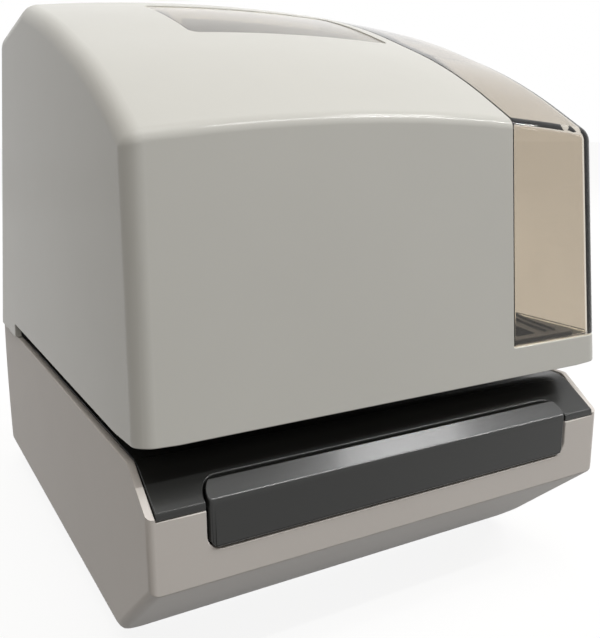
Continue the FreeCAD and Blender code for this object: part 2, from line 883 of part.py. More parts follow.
def make_print_switch():
    half = switch_width / 2
    reach = switch_height / 2
    rear = switch_front_y + switch_length
    ear_y = bracket_y + bracket_sheet
    body = box(-half, half, switch_front_y, rear, stem_z - reach, stem_z + reach)
    ears = box(-half - switch_ear, half + switch_ear, ear_y, ear_y + switch_ear,
               stem_z - reach - switch_ear, stem_z + reach + switch_ear)
    pins = []
    for index in (-1, 0, 1):
        x = index * switch_pin_pitch
        pins.append(box(x - switch_pin_width / 2, x + switch_pin_width / 2, rear - over,
                        rear + switch_pin_length, stem_z - switch_pin_height / 2,
                        stem_z + switch_pin_height / 2))
    return body.fuse([ears] + pins).removeSplitter()


def coil(x, y0, y1, radius, wire, turns):
    """Compression spring along y, of square wire bent in straight pieces."""
    count = int(turns * coil_sides)
    pitch = (y1 - y0 - wire) / count
    rings = []
    for index in range(count + 1):
        angle = 2 * math.pi * index / coil_sides
        middle = y0 + wire / 2 + index * pitch
        corners = []
        for reach, along in ((radius, -wire / 2), (radius, wire / 2),
                             (radius - wire, wire / 2), (radius - wire, -wire / 2)):
            corners.append(Vector(x + reach * math.cos(angle), middle + along,
                                  stem_z + reach * math.sin(angle)))
        rings.append(corners)
    faces = [Part.Face(Part.makePolygon(end + [end[0]])) for end in (rings[0], rings[-1])]
    for here, onward in zip(rings, rings[1:]):
        for index in range(len(here)):
            a, b = here[index - 1], here[index]
            c, d = onward[index], onward[index - 1]
            faces.append(Part.Face(Part.makePolygon([a, b, c, a])))
            faces.append(Part.Face(Part.makePolygon([a, c, d, a])))
    spring = Part.Solid(Part.Shell(faces))
    spring.fix(weld, weld, weld)
    return spring


def make_bar_springs():
    """Two short compression springs round the stems, between the bar and its bracket."""
    end = bracket_y - bar_travel - stroke_gap
    return Part.makeCompound([
        coil(x, bar_rear_y, end, bar_spring_radius, bar_spring_wire, bar_spring_turns)
        for x in (-bar_stem_x, bar_stem_x)])


# ---- Upper cover ----

def crown(x):
    """Extra height of the cover's top at x, over its height at the sides."""
    half = cover_half_width(top_break_z)
    return (half * half - x * x) / (2 * crown_radius)


def cover_front_y(z):
    return front_y + cover_setback + (z - cover_low_z - front_edge_lift) * front_draft


def cover_side(x):
    """Side view of the cover at x, with a straight lower edge at the hairline."""
    low = ear_low_z - cover_wall - over    # trimmed off again
    rise = crown(x)
    ridge = ridge_z + rise
    rear_top = top_rear_z + rise
    return [
        (cover_front_y(low), low, 0),
        (rear_wall_y(low), low, 0),
        (rear_wall_y(rear_top), rear_top, top_rear_round),
        (top_break_y, top_break_z + rise, top_break_round),
        (top_middle_y, top_middle_z + rise, top_middle_round),
        (top_front_y, top_front_z + rise, top_front_round),
        (cover_front_y(ridge), ridge, ridge_round),
    ]


def cover_half_width(z):
    return half_cover - (z - cover_low_z) * side_draft


def cover_form(depth):
    """Outer form of the cover, or the same form with every wall moved inwards by depth."""
    rounds = [0.0] + [cover_edge_round] * (len(cover_side(0)) - 1)
    return loft_across(cover_side, rounds, cover_half_width, depth, crown_steps if depth == 0 else 2)


def below_cover():
    """Everything below the cover's lower edge, which is higher at the front corners."""
    corner_z = cover_low_z + corner_edge_lift
    below = prism_x([
        (-far, 0, 0),
        (far, 0, 0),
        (far, ear_low_z, 0),
        (groove_rear_y, ear_low_z, 0),
        (groove_rear_y, cover_low_z, groove_corner),
        (lift_start_y, cover_low_z, lift_round),
        (front_y + cover_setback, corner_z, 0),
        (-far, corner_z, 0),
    ], -far, far)
    low = cover_low_z + front_edge_lift
    half = half_cover - lift_width
    front_wall = prism_y([(-half, low, lift_width), (half, low, lift_width),
                          (half_cover, corner_z + over, 0), (-half_cover, corner_z + over, 0)],
                         -far, lift_start_y)
    return below.cut(front_wall)


def smoke_zone(gap):
    """Corner of the cover that is smoked plastic; gap shrinks it at its seams."""
    return box(smoke_seam_x + gap, far, -far, smoke_rear_y - gap, smoke_low_z + gap, far)


def window_zone(grow):
    half = window_width / 2 + grow
    reach = window_length / 2 + grow
    radius = window_corner + max(grow, -window_ledge)
    return prism_z(rectangle(window_x - half, window_x + half, window_y - reach, window_y + reach, radius),
                   ridge_z, far)


def make_cover_shell():
    return cover_form(0).cut(cover_form(cover_wall)).cut(below_cover())


def make_upper_cover(shell):
    cover = shell.cut(smoke_zone(0))
    # frame that carries the window, fused to the inside of the top
    frame = cover_form(cover_wall / 2).cut(cover_form(cover_wall + window_frame))
    cover = cover.fuse(frame.common(window_zone(frame_margin)))
    cover = cover.cut(window_zone(0).cut(cover_form(cover_wall)))
    cover = cover.cut(window_zone(-window_ledge))
    for knuckle in hinge_rods(hinge_middle_half, 0, False):
        cover = cover.fuse(knuckle)
    for room in hinge_rods(hinge_half_length, knuckle_gap, True):
        cover = cover.cut(room)
    for x in (-hinge_x, hinge_x):
        cover = cover.cut(rod(x - hinge_half_length, hinge_y, hinge_z, (1, 0, 0),
                              hinge_pin_radius + running_fit, 2 * hinge_half_length))
    inner = cover_half_width(lock_z) - 2 * cover_wall
    cover = cover.cut(rod(inner, lock_y, lock_z, (1, 0, 0), lock_radius + running_fit, lock_depth))
    return cover.removeSplitter()


def make_smoked_cover(shell):
    return shell.common(smoke_zone(seam_gap)).removeSplitter()


def make_top_window():
    pane = cover_form(window_recess).cut(cover_form(cover_wall))
    return pane.common(window_zone(-window_fit))


def make_hinge_pins():
    def pin(x):
        return rod(x - hinge_half_length, hinge_y, hinge_z, (1, 0, 0), hinge_pin_radius,
                   2 * hinge_half_length)
    return ring([(-hinge_x,), (hinge_x,)], pin)


# ---- Cover lock ----

def lock_face_x():
    return cover_half_width(lock_z)


def make_lock_barrel():
    face = lock_face_x()
    barrel = rod(face - lock_depth, lock_y, lock_z, (1, 0, 0), lock_radius, lock_depth)
    half = lock_slot_width / 2
    reach = lock_slot_length / 2
    slot = box(face - lock_slot_depth, face + over, lock_y - half, lock_y + half, lock_z - reach, lock_z + reach)
    return barrel.cut(slot)


def make_lock_nut():
    nut = hexagon(0, 0, lock_nut_radius, 0, lock_nut_thickness)
    nut = nut.cut(rod(0, 0, -over, (0, 0, 1), lock_radius + running_fit, lock_nut_thickness + 2 * over))
    nut.rotate(Vector(0, 0, 0), Vector(0, 1, 0), -90)
    inner = lock_face_x() - cover_wall
    nut.translate(Vector(inner - lock_nut_gap, lock_y, lock_z))
    return nut


def cam_direction():
    """Angle of the unlocked cam in the side view, a quarter turn before it points at the hinge."""
    locked = math.atan2(hinge_z - lock_z, hinge_y - lock_y)
    return locked - math.pi / 2


def make_lock_cam():
    x1 = lock_face_x() - lock_depth
    x0 = x1 - cam_sheet
    blade = prism_x([
        (0, -cam_half_width, 0), (cam_length, -cam_half_width, cam_corner),
        (cam_length, cam_half_width, cam_corner), (0, cam_half_width, 0),
    ], x0, x1)
    blade = blade.fuse(rod(x0, 0, 0, (1, 0, 0), lock_radius, cam_sheet))
    blade.rotate(Vector(0, 0, 0), Vector(1, 0, 0), math.degrees(cam_direction()))
    blade.translate(Vector(0, lock_y, lock_z))
    return blade.removeSplitter()


# ---- Chassis ----

def frame_side():
    """Side view of a side frame: a C that reaches round the paper slot from behind."""
    rear_low = rear_y - base_wall - frame_rear_gap
    rear_top = rear_wall_y(frame_top_z) - cover_wall - frame_rear_gap - frame_top_gap
    rear_middle = hinge_y - cover_wall - frame_rear_gap
    return [
        (frame_arm_front_y, plate_top_z, 0),
        (rear_low - frame_low_gap, plate_top_z, 0),
        (rear_middle, rim_z, frame_bend_round),
        (rear_top, frame_top_z, frame_rear_corner),
        (frame_front_y, frame_top_z, frame_front_corner),
        (frame_front_y, deck_z, 0),
        (frame_post_front_y, deck_z, frame_inner_corner),
        (frame_post_front_y, frame_arm_top_z, frame_elbow_corner),
        (frame_arm_front_y, frame_arm_top_z, frame_arm_corner),
    ]


def make_side_frame(side):
    x = sorted((side * frame_x, side * (frame_x - frame_sheet)))
    plate = prism_x(frame_side(), x[0], x[1])
    for y, z, radius in ((shaft_y, shaft_z, shaft_radius), (rail_y, rail_z, rail_radius)):
        plate = plate.cut(rod(x[0] - over, y, z, (1, 0, 0), radius, frame_sheet + 2 * over))
    # lightening window in the lower arm
    edge = frame_window_edge
    low, high = plate_top_z + edge, frame_arm_top_z - edge
    front, rear = frame_arm_front_y + edge, frame_post_front_y - edge
    window = [(y, z, frame_window_corner) for y, z in ((front, low), (rear, low), (rear, high), (front, high))]
    plate = plate.cut(prism_x(window, x[0] - over, x[1] + over))
    if side > 0:
        plate = plate.fuse(keeper())
    return plate.removeSplitter()


def keeper():
    """Tab that the locked cam hooks under."""
    away = math.hypot(hinge_y - lock_y, hinge_z - lock_z)
    radius = away - keeper_reach
    tilt = math.atan2(lock_z - hinge_z, hinge_y - lock_y)
    lift = tilt + (cam_half_width + keeper_gap) / radius
    y = hinge_y - radius * math.cos(lift)
    z = hinge_z + radius * math.sin(lift)
    x1 = lock_face_x() - lock_depth
    return box(frame_x - frame_sheet / 2, x1, y - keeper_width / 2, y + keeper_width / 2, z, z + frame_sheet)


def make_head_plate():
    half = head_plate_half_width
    plate = prism_z([
        (-half, head_plate_front_y, head_plate_corner), (half, head_plate_front_y, head_plate_corner),
        (half, head_plate_rear_y, 0), (-half, head_plate_rear_y, 0),
    ], head_plate_z, deck_z)
    half = print_slot_width / 2
    reach = print_slot_length / 2
    return plate.cut(box(carriage_x - half, carriage_x + half, print_y - reach, print_y + reach,
                         head_plate_z - over, deck_z + over))


def make_cross_plate():
    """Rear cross member that ties the two side frames together behind the slot."""
    y0 = frame_post_front_y + cross_plate_gap
    half = frame_x - frame_sheet
    return box(-half, half, y0, y0 + frame_sheet, plate_top_z, deck_z + cross_plate_rise)


def make_carriage_shaft():
    end = frame_x + shaft_end
    return rod(-end, shaft_y, shaft_z, (1, 0, 0), shaft_radius, 2 * end)


def make_guide_rail():
    end = frame_x + shaft_end
    return rod(-end, rail_y, rail_z, (1, 0, 0), rail_radius, 2 * end)


# ---- Carriage drive ----

def make_carriage():
    x0, x1 = carriage_x - carriage_half_width, carriage_x + carriage_half_width
    body = prism_x([
        (carriage_front_y, carriage_low_z, 0),
        (shaft_y + carriage_low_run, carriage_low_z, carriage_corner),
        (shaft_y + carriage_step_run, rail_z - rail_boss, carriage_corner),
        (carriage_rear_y, rail_z - rail_boss, carriage_rail_corner),
        (carriage_rear_y, rail_z + rail_boss, carriage_rail_corner),
        (shaft_y + carriage_top_run, carriage_top_z, carriage_top_corner),
        (carriage_front_y, carriage_top_z, 0),
    ], x0, x1)
    belt_front = belt_y - pulley_radius - belt_fit - belt_thickness
    arm = box(carriage_x - arm_half_width, carriage_x + arm_half_width, carriage_rear_y - arm_overlap,
              belt_front - loose_fit, arm_low_z, arm_top_z)
    body = body.fuse(arm)
    width = 2 * carriage_half_width
    body = body.cut(rod(x0 - over, shaft_y, shaft_z, (1, 0, 0), shaft_radius + running_fit, width + 2 * over))
    body = body.cut(rod(x0 - over, rail_y, rail_z, (1, 0, 0), rail_radius + running_fit, width + 2 * over))
    return body.removeSplitter()


def make_print_head():
    """Dot-matrix head: a finned block over a tapered neck and the nose that holds the needles."""
    def taper(middle, low_half, high_half):
        return [(middle - low_half, head_neck_z, 0), (middle + low_half, head_neck_z, 0),
                (middle + high_half, head_low_z, 0), (middle - high_half, head_low_z, 0)]

    half, reach, cut = head_half_width, head_half_length, head_corner
    corners = []
    for x, y in ((-1, -1), (1, -1), (1, 1), (-1, 1)):
        near = (carriage_x + x * half, print_y + y * (reach - cut), 0)
        across = (carriage_x + x * (half - cut), print_y + y * reach, 0)
        corners += [near, across] if x == y else [across, near]
    head = prism_z(corners, head_low_z, head_top_z)
    core = box(carriage_x - half + head_fin_depth, carriage_x + half - head_fin_depth,
               print_y - reach + head_fin_depth, print_y + reach - head_fin_depth, 0, far)
    pitch = (head_top_z - head_low_z) / (head_fins + 1)
    for index in range(head_fins):
        z = head_low_z + (index + 1) * pitch - head_fin_gap / 2
        head = head.cut(box(-far, far, -far, far, z, z + head_fin_gap).cut(core))
    neck = prism_x(taper(print_y, nose_length / 2, reach - cut), -far, far)
    neck = neck.common(prism_y(taper(carriage_x, nose_width / 2, half - cut), -far, far))
    nose_low = ribbon_z + ribbon_thickness + nose_gap
    nose = box(carriage_x - nose_width / 2, carriage_x + nose_width / 2, print_y - nose_length / 2,
               print_y + nose_length / 2, nose_low, head_neck_z)
    lug = box(carriage_x - head_lug_half_width, carriage_x + head_lug_half_width,
              print_y + reach - head_fin_depth, carriage_front_y,
              head_low_z + head_lug_inset, head_top_z - head_lug_inset)
    return head.fuse([neck, nose, lug]).removeSplitter()


def stadium(x0, x1, y, radius, z0, z1):
    left = rod(x0, y, z0, (0, 0, 1), radius, z1 - z0)
    right = rod(x1, y, z0, (0, 0, 1), radius, z1 - z0)
    return left.fuse([right, box(x0, x1, y - radius, y + radius, z0, z1)]).removeSplitter()


def make_timing_belt():
    inner = pulley_radius + belt_fit
    low, high = belt_low_z, belt_low_z + belt_width
    loop = stadium(motor_x, idler_x, belt_y, inner + belt_thickness, low, high)
    return loop.cut(stadium(motor_x, idler_x, belt_y, inner, low - over, high + over))


def make_pulley(x, bore):
    """Toothed pulley on an upright shaft, with one flange under the belt."""
    low = belt_low_z - pulley_flange_sheet - pulley_gap
    high = belt_low_z + belt_width + pulley_gap
    crest, root = tooth_crest / 2, pulley_radius - tooth_depth
    corners = []
    for index in range(pulley_teeth):
        for share, radius in ((-crest, pulley_radius), (crest, pulley_radius),
                              (crest + tooth_flank, root), (1 - crest - tooth_flank, root)):
            angle = 2 * math.pi * (index + share) / pulley_teeth
            corners.append((x + radius * math.cos(angle), belt_y + radius * math.sin(angle), 0))
    wheel = prism_z(corners, low, high)
    flange = rod(x, belt_y, low, (0, 0, 1), pulley_radius + pulley_flange, pulley_flange_sheet)
    return wheel.fuse(flange).cut(rod(x, belt_y, low - over, (0, 0, 1), bore, high - low + 2 * over)).removeSplitter()


def make_carriage_motor():
    """Square stepping motor, standing on the head plate."""
    top = deck_z + motor_height
    half, cut = motor_side / 2, motor_corner
    corners = []
    for x, y in ((-1, -1), (1, -1), (1, 1), (-1, 1)):
        near = (motor_x + x * half, belt_y + y * (half - cut), 0)
        across = (motor_x + x * (half - cut), belt_y + y * half, 0)
        corners += [near, across] if x == y else [across, near]
    can = prism_z(corners, deck_z, top)
    boss = rod(motor_x, belt_y, top, (0, 0, 1), motor_boss_radius, motor_boss_height)
    bore = rod(motor_x, belt_y, deck_z + motor_shaft_floor, (0, 0, 1), motor_shaft_radius + running_fit,
               motor_height + motor_boss_height)
    return can.fuse(boss).cut(bore).removeSplitter()


def make_motor_shaft():
    top = belt_low_z + belt_width + shaft_proud
    low = deck_z + motor_shaft_floor + loose_fit
    return rod(motor_x, belt_y, low, (0, 0, 1), motor_shaft_radius, top - low)


def make_idler_post():
    top = belt_low_z + belt_width + shaft_proud
    post = rod(idler_x, belt_y, deck_z, (0, 0, 1), idler_post_radius, top - deck_z)
    shoulder = belt_low_z - pulley_flange_sheet - 2 * pulley_gap
    collar = hexagon(idler_x, belt_y, idler_post_radius + idler_collar, deck_z, shoulder)
    return post.fuse(collar).removeSplitter()


# ---- Ribbon ----

def make_ribbon_cassette():
    """Long flat box along the front, with a pod under the smoked corner and an arm on the left."""
    r = cassette_corner
    arm_x = cassette_left_x + cassette_arm_width
    arm_y = cassette_arm_rear_y + cassette_arm_length
    body = prism_z([
        (cassette_left_x, cassette_front_y, r), (cassette_right_x, cassette_front_y, r),
        (cassette_right_x, cassette_pod_rear_y, r), (cassette_pod_x, cassette_pod_rear_y, r),
        (cassette_pod_x, cassette_arm_rear_y, 0), (arm_x, cassette_arm_rear_y, 0),
        (arm_x, arm_y, 0), (cassette_left_x, arm_y, 0),
    ], deck_z, cassette_top_z)
    top = [edge for edge in body.Edges if edge.BoundBox.ZMin > cassette_top_z - pick]
    body = body.makeChamfer(cassette_edge, top)
    # lower shelf round the knob, with a swept edge
    rear_y_here = cassette_pod_rear_y - pocket_rear_edge
    front_y_here = cassette_front_y + pocket_front_edge
    rear = Vector(cassette_right_x - pocket_rear_inset, rear_y_here, 0)
    middle = Vector(cassette_right_x - pocket_middle_inset, cassette_arm_rear_y, 0)
    front = Vector(cassette_right_x - pocket_front_inset, front_y_here, 0)
    left_x = cassette_pod_x + pocket_left_edge
    left = [Vector(left_x, front_y_here, 0), Vector(left_x, rear_y_here, 0)]
    edges = [Part.Arc(rear, middle, front).toShape(), Part.makePolygon([front] + left + [rear])]
    pocket = Part.Face(Part.Wire([edges[0]] + edges[1].Edges)).extrude(Vector(0, 0, cassette_pocket + over))
    pocket.translate(Vector(0, 0, cassette_top_z - cassette_pocket))
    body = body.cut(pocket)
    return body.cut(rod(knob_x, knob_y, deck_z + spindle_floor, (0, 0, 1), spindle_radius + running_fit,
                        cassette_height))


def make_ink_ribbon():
    arm_x = cassette_left_x + cassette_arm_width
    return box(arm_x + loose_fit, cassette_pod_x - loose_fit, print_y - ribbon_width / 2,
               print_y + ribbon_width / 2, ribbon_z, ribbon_z + ribbon_thickness)


def make_ribbon_knob():
    seat = cassette_top_z - cassette_pocket + knob_seat
    corners = []
    for index in range(2 * knob_ribs):
        angle = math.pi * index / knob_ribs
        radius = knob_radius - knob_rib_depth * (index % 2)
        corners.append((knob_x + radius * math.cos(angle), knob_y + radius * math.sin(angle), 0))
    knob = prism_z(corners, seat, seat + knob_height)
    low = deck_z + spindle_floor + loose_fit
    return knob.fuse(rod(knob_x, knob_y, low, (0, 0, 1), spindle_radius, seat - low + over)).removeSplitter()


# ---- Display, keys and boards ----

def display_top_z():
    """Height of the display's face under the middle of the window."""
    slope = (top_break_z - top_middle_z) / (top_break_y - top_middle_y)
    surface = top_middle_z + slope * (window_y - top_middle_y) + crown(window_x) - top_round_sag
    return surface - cover_wall - window_frame - display_gap


def tilted(shape):
    """Place a shape made flat, with its face at z = 0, under the window."""
    placed = shape.copy()
    placed.rotate(Vector(0, 0, 0), Vector(1, 0, 0), display_tilt)
    placed.translate(Vector(window_x, window_y, display_top_z()))
    return placed


def make_lcd_module():
    half, reach = lcd_width / 2, lcd_length / 2
    body = box(-half, half, -reach, reach, -lcd_height, 0)
    half, reach = glass_width / 2 + glass_fit, glass_length / 2 + glass_fit
    return tilted(body.cut(box(-half, half, -reach, reach, -glass_height, 1)))


def make_lcd_glass():
    half, reach = glass_width / 2, glass_length / 2
    return tilted(box(-half, half, -reach, reach, -glass_height, -glass_fit))


def key_ys():
    return [index * key_pitch for index in (-1, 0, 1)]


def make_display_board():
    x0, x1 = display_board_left_x - window_x, display_board_right_x - window_x
    reach = display_board_length / 2
    board = box(x0, x1, -reach, reach, -lcd_height - board_sheet, -lcd_height)
    side = key_switch_side / 2
    hole = key_stem_side / 2 + running_fit
    x = key_x - window_x
    for y in key_ys():
        switch = box(x - side, x + side, y - side, y + side, -lcd_height, -lcd_height + key_switch_height)
        well = box(x - hole, x + hole, y - hole, y + hole, key_stem_floor - lcd_height, 1)
        board = board.fuse(switch).cut(well)
    return tilted(board)


def make_set_key(y):
    x = key_x - window_x
    half = key_cap_side / 2
    stem = key_stem_side / 2
    cap_low = -lcd_height + key_switch_height + key_travel + loose_fit
    cap_top = cap_low + key_cap_height
    cap = box(x - half, x + half, y - half, y + half, cap_low, cap_top)
    cap = cap.makeChamfer(key_cap_edge, [e for e in cap.Edges if e.BoundBox.ZMin > cap_top - pick])
    stem_low = -lcd_height + key_stem_floor + key_travel + loose_fit
    post = box(x - stem, x + stem, y - stem, y + stem, stem_low, cap_low + over)
    return tilted(cap.fuse(post).removeSplitter())


def shelf_z(y):
    """Upper face of the display bracket's sloping shelf."""
    slope = math.tan(math.radians(display_tilt))
    drop = (lcd_height + board_sheet + shelf_gap) / math.cos(math.radians(display_tilt))
    return display_top_z() - drop + (y - window_y) * slope


def make_display_bracket():
    front = window_y - display_board_length / 2 + bracket_front_inset
    wall = bracket_wall_y
    sheet = shelf_sheet
    side = [
        (wall + sheet - bracket_foot_length, frame_top_z, 0), (wall + sheet, frame_top_z, 0),
        (wall + sheet, shelf_z(wall + sheet), 0), (front, shelf_z(front), 0),
        (front, shelf_z(front) - sheet, 0), (wall, shelf_z(wall) - sheet, 0),
        (wall, frame_top_z + sheet, 0), (wall + sheet - bracket_foot_length, frame_top_z + sheet, 0),
    ]
    body = prism_x(side, display_board_left_x + bracket_left_inset,
                   display_board_right_x - bracket_right_inset)
    foot = box(-frame_x, frame_x, wall + sheet - bracket_foot_length, wall + sheet,
               frame_top_z, frame_top_z + sheet)
    return body.fuse(foot).removeSplitter()


def make_display_spacers():
    left = display_board_left_x + bracket_left_inset + display_spacer_inset - window_x
    right = display_board_right_x - display_spacer_inset - window_x
    places = [(x, y) for x in (left, right) for y in (display_spacer_front_y, display_spacer_rear_y)]
    low = -lcd_height - board_sheet - shelf_gap
    return tilted(ring(places, lambda x, y: hexagon(x, y, spacer_radius, low, low + shelf_gap)))


def board_y():
    return bracket_wall_y + shelf_sheet + spacer_length


def main_board_x():
    return display_board_left_x + main_board_inset, display_board_right_x - board_edge_inset


def make_main_board():
    """Board with its chips and two connectors, each given by its place and its size."""
    y = board_y()
    x0, x1 = main_board_x()
    board = box(x0, x1, y, y + board_sheet, main_board_low_z, main_board_top_z)
    face = y + board_sheet
    middle_z = (main_board_low_z + main_board_top_z) / 2
    connector_z = main_board_low_z + connector_height
    chip_z = middle_z + chip_rise
    left, right = x0 + chip_side, x1 - chip_side
    parts = [
        (left, chip_z - chip_step, chip_side, chip_side, chip_height),
        ((x0 + x1) / 2, chip_z, chip_side, connector_depth, chip_height),
        (right, chip_z + chip_step, chip_side, connector_height, chip_height),
        (x0 + connector_inset, connector_z, connector_width, connector_height, connector_depth),
        (x1 - connector_inset, connector_z, connector_width, connector_height, connector_depth),
    ]
    for x, z, wide, high, height in parts:
        board = board.fuse(box(x - wide / 2, x + wide / 2, face - board_sheet / 2, face + height,
                               z - high / 2, z + high / 2))
    return board.removeSplitter()


def make_board_spacers():
    x0, x1 = main_board_x()
    places = [(x, z) for x in (x0 + spacer_edge, x1 - spacer_edge)
              for z in (main_board_low_z + spacer_edge, main_board_top_z - spacer_edge)]
    spacers = ring(places, lambda x, z: hexagon(x, -z, spacer_radius, 0, spacer_length))
    spacers.rotate(Vector(0, 0, 0), Vector(1, 0, 0), -90)
    spacers.translate(Vector(0, bracket_wall_y + shelf_sheet, 0))
    return spacers


def make_backup_battery():
    face = board_y() + board_sheet
    right = main_board_x()[1] - connector_inset - connector_width / 2 - battery_gap
    return rod(right - battery_length, face + battery_radius, battery_z, (1, 0, 0),
               battery_radius, battery_length)


# ---- Power inlet ----

def inlet_body(gap, length, proud):
    """Square body of the power socket: gap wider all round, from length inside to proud outside."""
    half = inlet_half_width + gap
    return box(inlet_x - half, inlet_x + half, rear_y - length, rear_y + proud, inlet_z - half, inlet_z + half)


def make_power_socket():
    body = inlet_body(0, inlet_length, inlet_proud)
    mouth = rear_y + inlet_proud
    flange = inlet_half_width + inlet_flange
    body = body.fuse(box(inlet_x - flange, inlet_x + flange, rear_y, mouth, inlet_z - flange, inlet_z + flange))
    floor = mouth - inlet_bore_depth
    body = body.cut(rod(inlet_x, floor, inlet_z, (0, 1, 0), inlet_bore_radius, inlet_bore_depth + over))
    pin = rod(inlet_x, floor - over, inlet_z, (0, 1, 0), inlet_pin_radius, inlet_bore_depth)
    return body.fuse(pin).removeSplitter()


def make_all():
    shell = make_cover_shell()
    nodes = {
        "base_housing": make_base_housing(),
        "base_plate": make_base_plate(),
        "rubber_feet": make_rubber_feet(),
        "base_screws": make_base_screws(),
        "paper_table": make_paper_table(),
        "platen_pad": make_platen_pad(),
        "paper_stop": make_paper_stop(),
        "print_bar": make_print_bar(),
        "bar_bracket": make_bar_bracket(),
        "bar_springs": make_bar_springs(),
        "print_switch": make_print_switch(),
        "side_frame_left": make_side_frame(-1),
        "side_frame_right": make_side_frame(1),
        "head_plate": make_head_plate(),
        "cross_plate": make_cross_plate(),
        "carriage_shaft": make_carriage_shaft(),
        "guide_rail": make_guide_rail(),
        "carriage": make_carriage(),
        "print_head": make_print_head(),
        "timing_belt": make_timing_belt(),
        "drive_pulley": make_pulley(motor_x, motor_shaft_radius),
        "idler_pulley": make_pulley(idler_x, idler_post_radius + running_fit),
        "carriage_motor": make_carriage_motor(),
        "motor_shaft": make_motor_shaft(),
        "idler_post": make_idler_post(),
        "ribbon_cassette": make_ribbon_cassette(),
        "ink_ribbon": make_ink_ribbon(),
        "ribbon_knob": make_ribbon_knob(),
        "lcd_module": make_lcd_module(),
        "lcd_glass": make_lcd_glass(),
        "display_board": make_display_board(),
        "display_bracket": make_display_bracket(),
        "display_spacers": make_display_spacers(),
        "main_board": make_main_board(),
        "board_spacers": make_board_spacers(),
        "backup_battery": make_backup_battery(),
        "upper_cover": make_upper_cover(shell),
        "smoked_cover": make_smoked_cover(shell),
        "top_window": make_top_window(),
        "hinge_pins": make_hinge_pins(),
        "lock_barrel": make_lock_barrel(),
        "lock_nut": make_lock_nut(),
        "lock_cam": make_lock_cam(),
        "power_socket": make_power_socket(),
    }
    for index, y in enumerate(key_ys()):
        nodes["set_key_%d" % (index + 1)] = make_set_key(y)
    return nodes


os.makedirs("parts", exist_ok=True)
for name, shape in make_all().items():
    shape.exportStep("parts/%s.step" % name)
    box_now = shape.BoundBox
    print("%-18s solids %d valid %s  x %.1f %.1f  y %.1f %.1f  z %.1f %.1f" % (
        name, len(shape.Solids), shape.isValid(), box_now.XMin, box_now.XMax,
        box_now.YMin, box_now.YMax, box_now.ZMin, box_now.ZMax))
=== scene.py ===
import json
import math
import bmesh
import bpy
from mathutils import Matrix, Vector


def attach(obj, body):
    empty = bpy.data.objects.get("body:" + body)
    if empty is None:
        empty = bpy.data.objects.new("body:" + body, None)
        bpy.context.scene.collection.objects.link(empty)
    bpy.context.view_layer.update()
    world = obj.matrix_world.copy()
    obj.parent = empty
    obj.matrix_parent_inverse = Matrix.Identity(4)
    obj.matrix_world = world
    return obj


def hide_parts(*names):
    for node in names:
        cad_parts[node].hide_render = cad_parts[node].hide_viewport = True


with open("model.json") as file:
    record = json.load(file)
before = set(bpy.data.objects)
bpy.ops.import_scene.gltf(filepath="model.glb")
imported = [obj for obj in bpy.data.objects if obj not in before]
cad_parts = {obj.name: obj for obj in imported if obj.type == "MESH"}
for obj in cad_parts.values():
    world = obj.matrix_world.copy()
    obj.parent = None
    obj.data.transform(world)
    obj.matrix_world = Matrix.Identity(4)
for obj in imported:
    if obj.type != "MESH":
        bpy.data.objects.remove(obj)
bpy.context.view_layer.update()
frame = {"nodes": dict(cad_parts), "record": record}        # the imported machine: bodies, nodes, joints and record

scene = bpy.context.scene
mm = 0.001               # shapes are worked out in millimetres and made in metres
far = 300.0              # longer than the machine, for cutting tools


# ---- Outlines: lists of corners, each with its rounding ----

leastRound = 0.05


def insetOutline(corners, depth):
    # moves each side of a closed outline inwards; depth is one number, or a list with one for each side
    count = len(corners)
    depths = depth if isinstance(depth, list) else [depth] * count
    area = sum(a[0] * b[1] - b[0] * a[1] for a, b in zip(corners, corners[1:] + corners[:1]))
    way = 1 if area > 0 else -1
    lines = []
    for i in range(count):
        a, b = corners[i][:2]
        c, d = corners[(i + 1) % count][:2]
        length = math.hypot(c - a, d - b)
        u, v = (c - a) / length, (d - b) / length
        lines.append((a - v * way * depths[i], b + u * way * depths[i], u, v))
    moved = []
    for i in range(count):
        x0, y0, ux, uy = lines[i - 1]
        x1, y1, vx, vy = lines[i]
        turn = ux * vy - uy * vx
        step = ((x1 - x0) * vy - (y1 - y0) * vx) / turn
        radius = corners[i][2]
        if radius:
            least = min(depths[i - 1], depths[i])
            radius = max(radius - least, leastRound) if turn * way > 0 else radius + least
        moved.append((x0 + ux * step, y0 + uy * step, radius))
    return moved


def bendOf(corners, i):
    # start, middle of the circle and turn of the rounded corner i
    here = Vector(corners[i][:2])
    back = (Vector(corners[i - 1][:2]) - here).normalized()
    onward = (Vector(corners[(i + 1) % len(corners)][:2]) - here).normalized()
    half = back.angle(onward) / 2
    radius = corners[i][2]
    start = here + back * (radius / math.tan(half))
    middle = here + (back + onward).normalized() * (radius / math.sin(half))
    way = 1 if back.x * onward.y - back.y * onward.x < 0 else -1
    return start, middle, way * (math.pi - 2 * half)


def outlineCounts(corners, arcStep=4.0, runStep=18.0, turnStep=9.0):
    # steps that each rounded corner gets, and each straight run after it
    counts = []
    for i, (a, b, radius) in enumerate(corners):
        c, d = corners[(i + 1) % len(corners)][:2]
        arc = 0
        if radius:
            turn = abs(bendOf(corners, i)[2])
            arc = max(2, math.ceil(turn / math.radians(turnStep)), math.ceil(radius * turn / arcStep))
        counts.append((arc, max(1, math.ceil(math.hypot(c - a, d - b) / runStep))))
    return counts


def outlinePoints(corners, counts):
    bends = []
    for i, corner in enumerate(corners):
        arc = counts[i][0]
        if not arc:
            bends.append([Vector(corner[:2])])
            continue
        start, middle, turn = bendOf(corners, i)
        bends.append([middle + Matrix.Rotation(turn * k / arc, 2) @ (start - middle)
                      for k in range(arc + 1)])
    points = []
    for i, bend in enumerate(bends):
        points += bend
        end, onward = bend[-1], bends[(i + 1) % len(bends)][0]
        runs = counts[i][1]
        points += [end.lerp(onward, k / runs) for k in range(1, runs)]
    return points


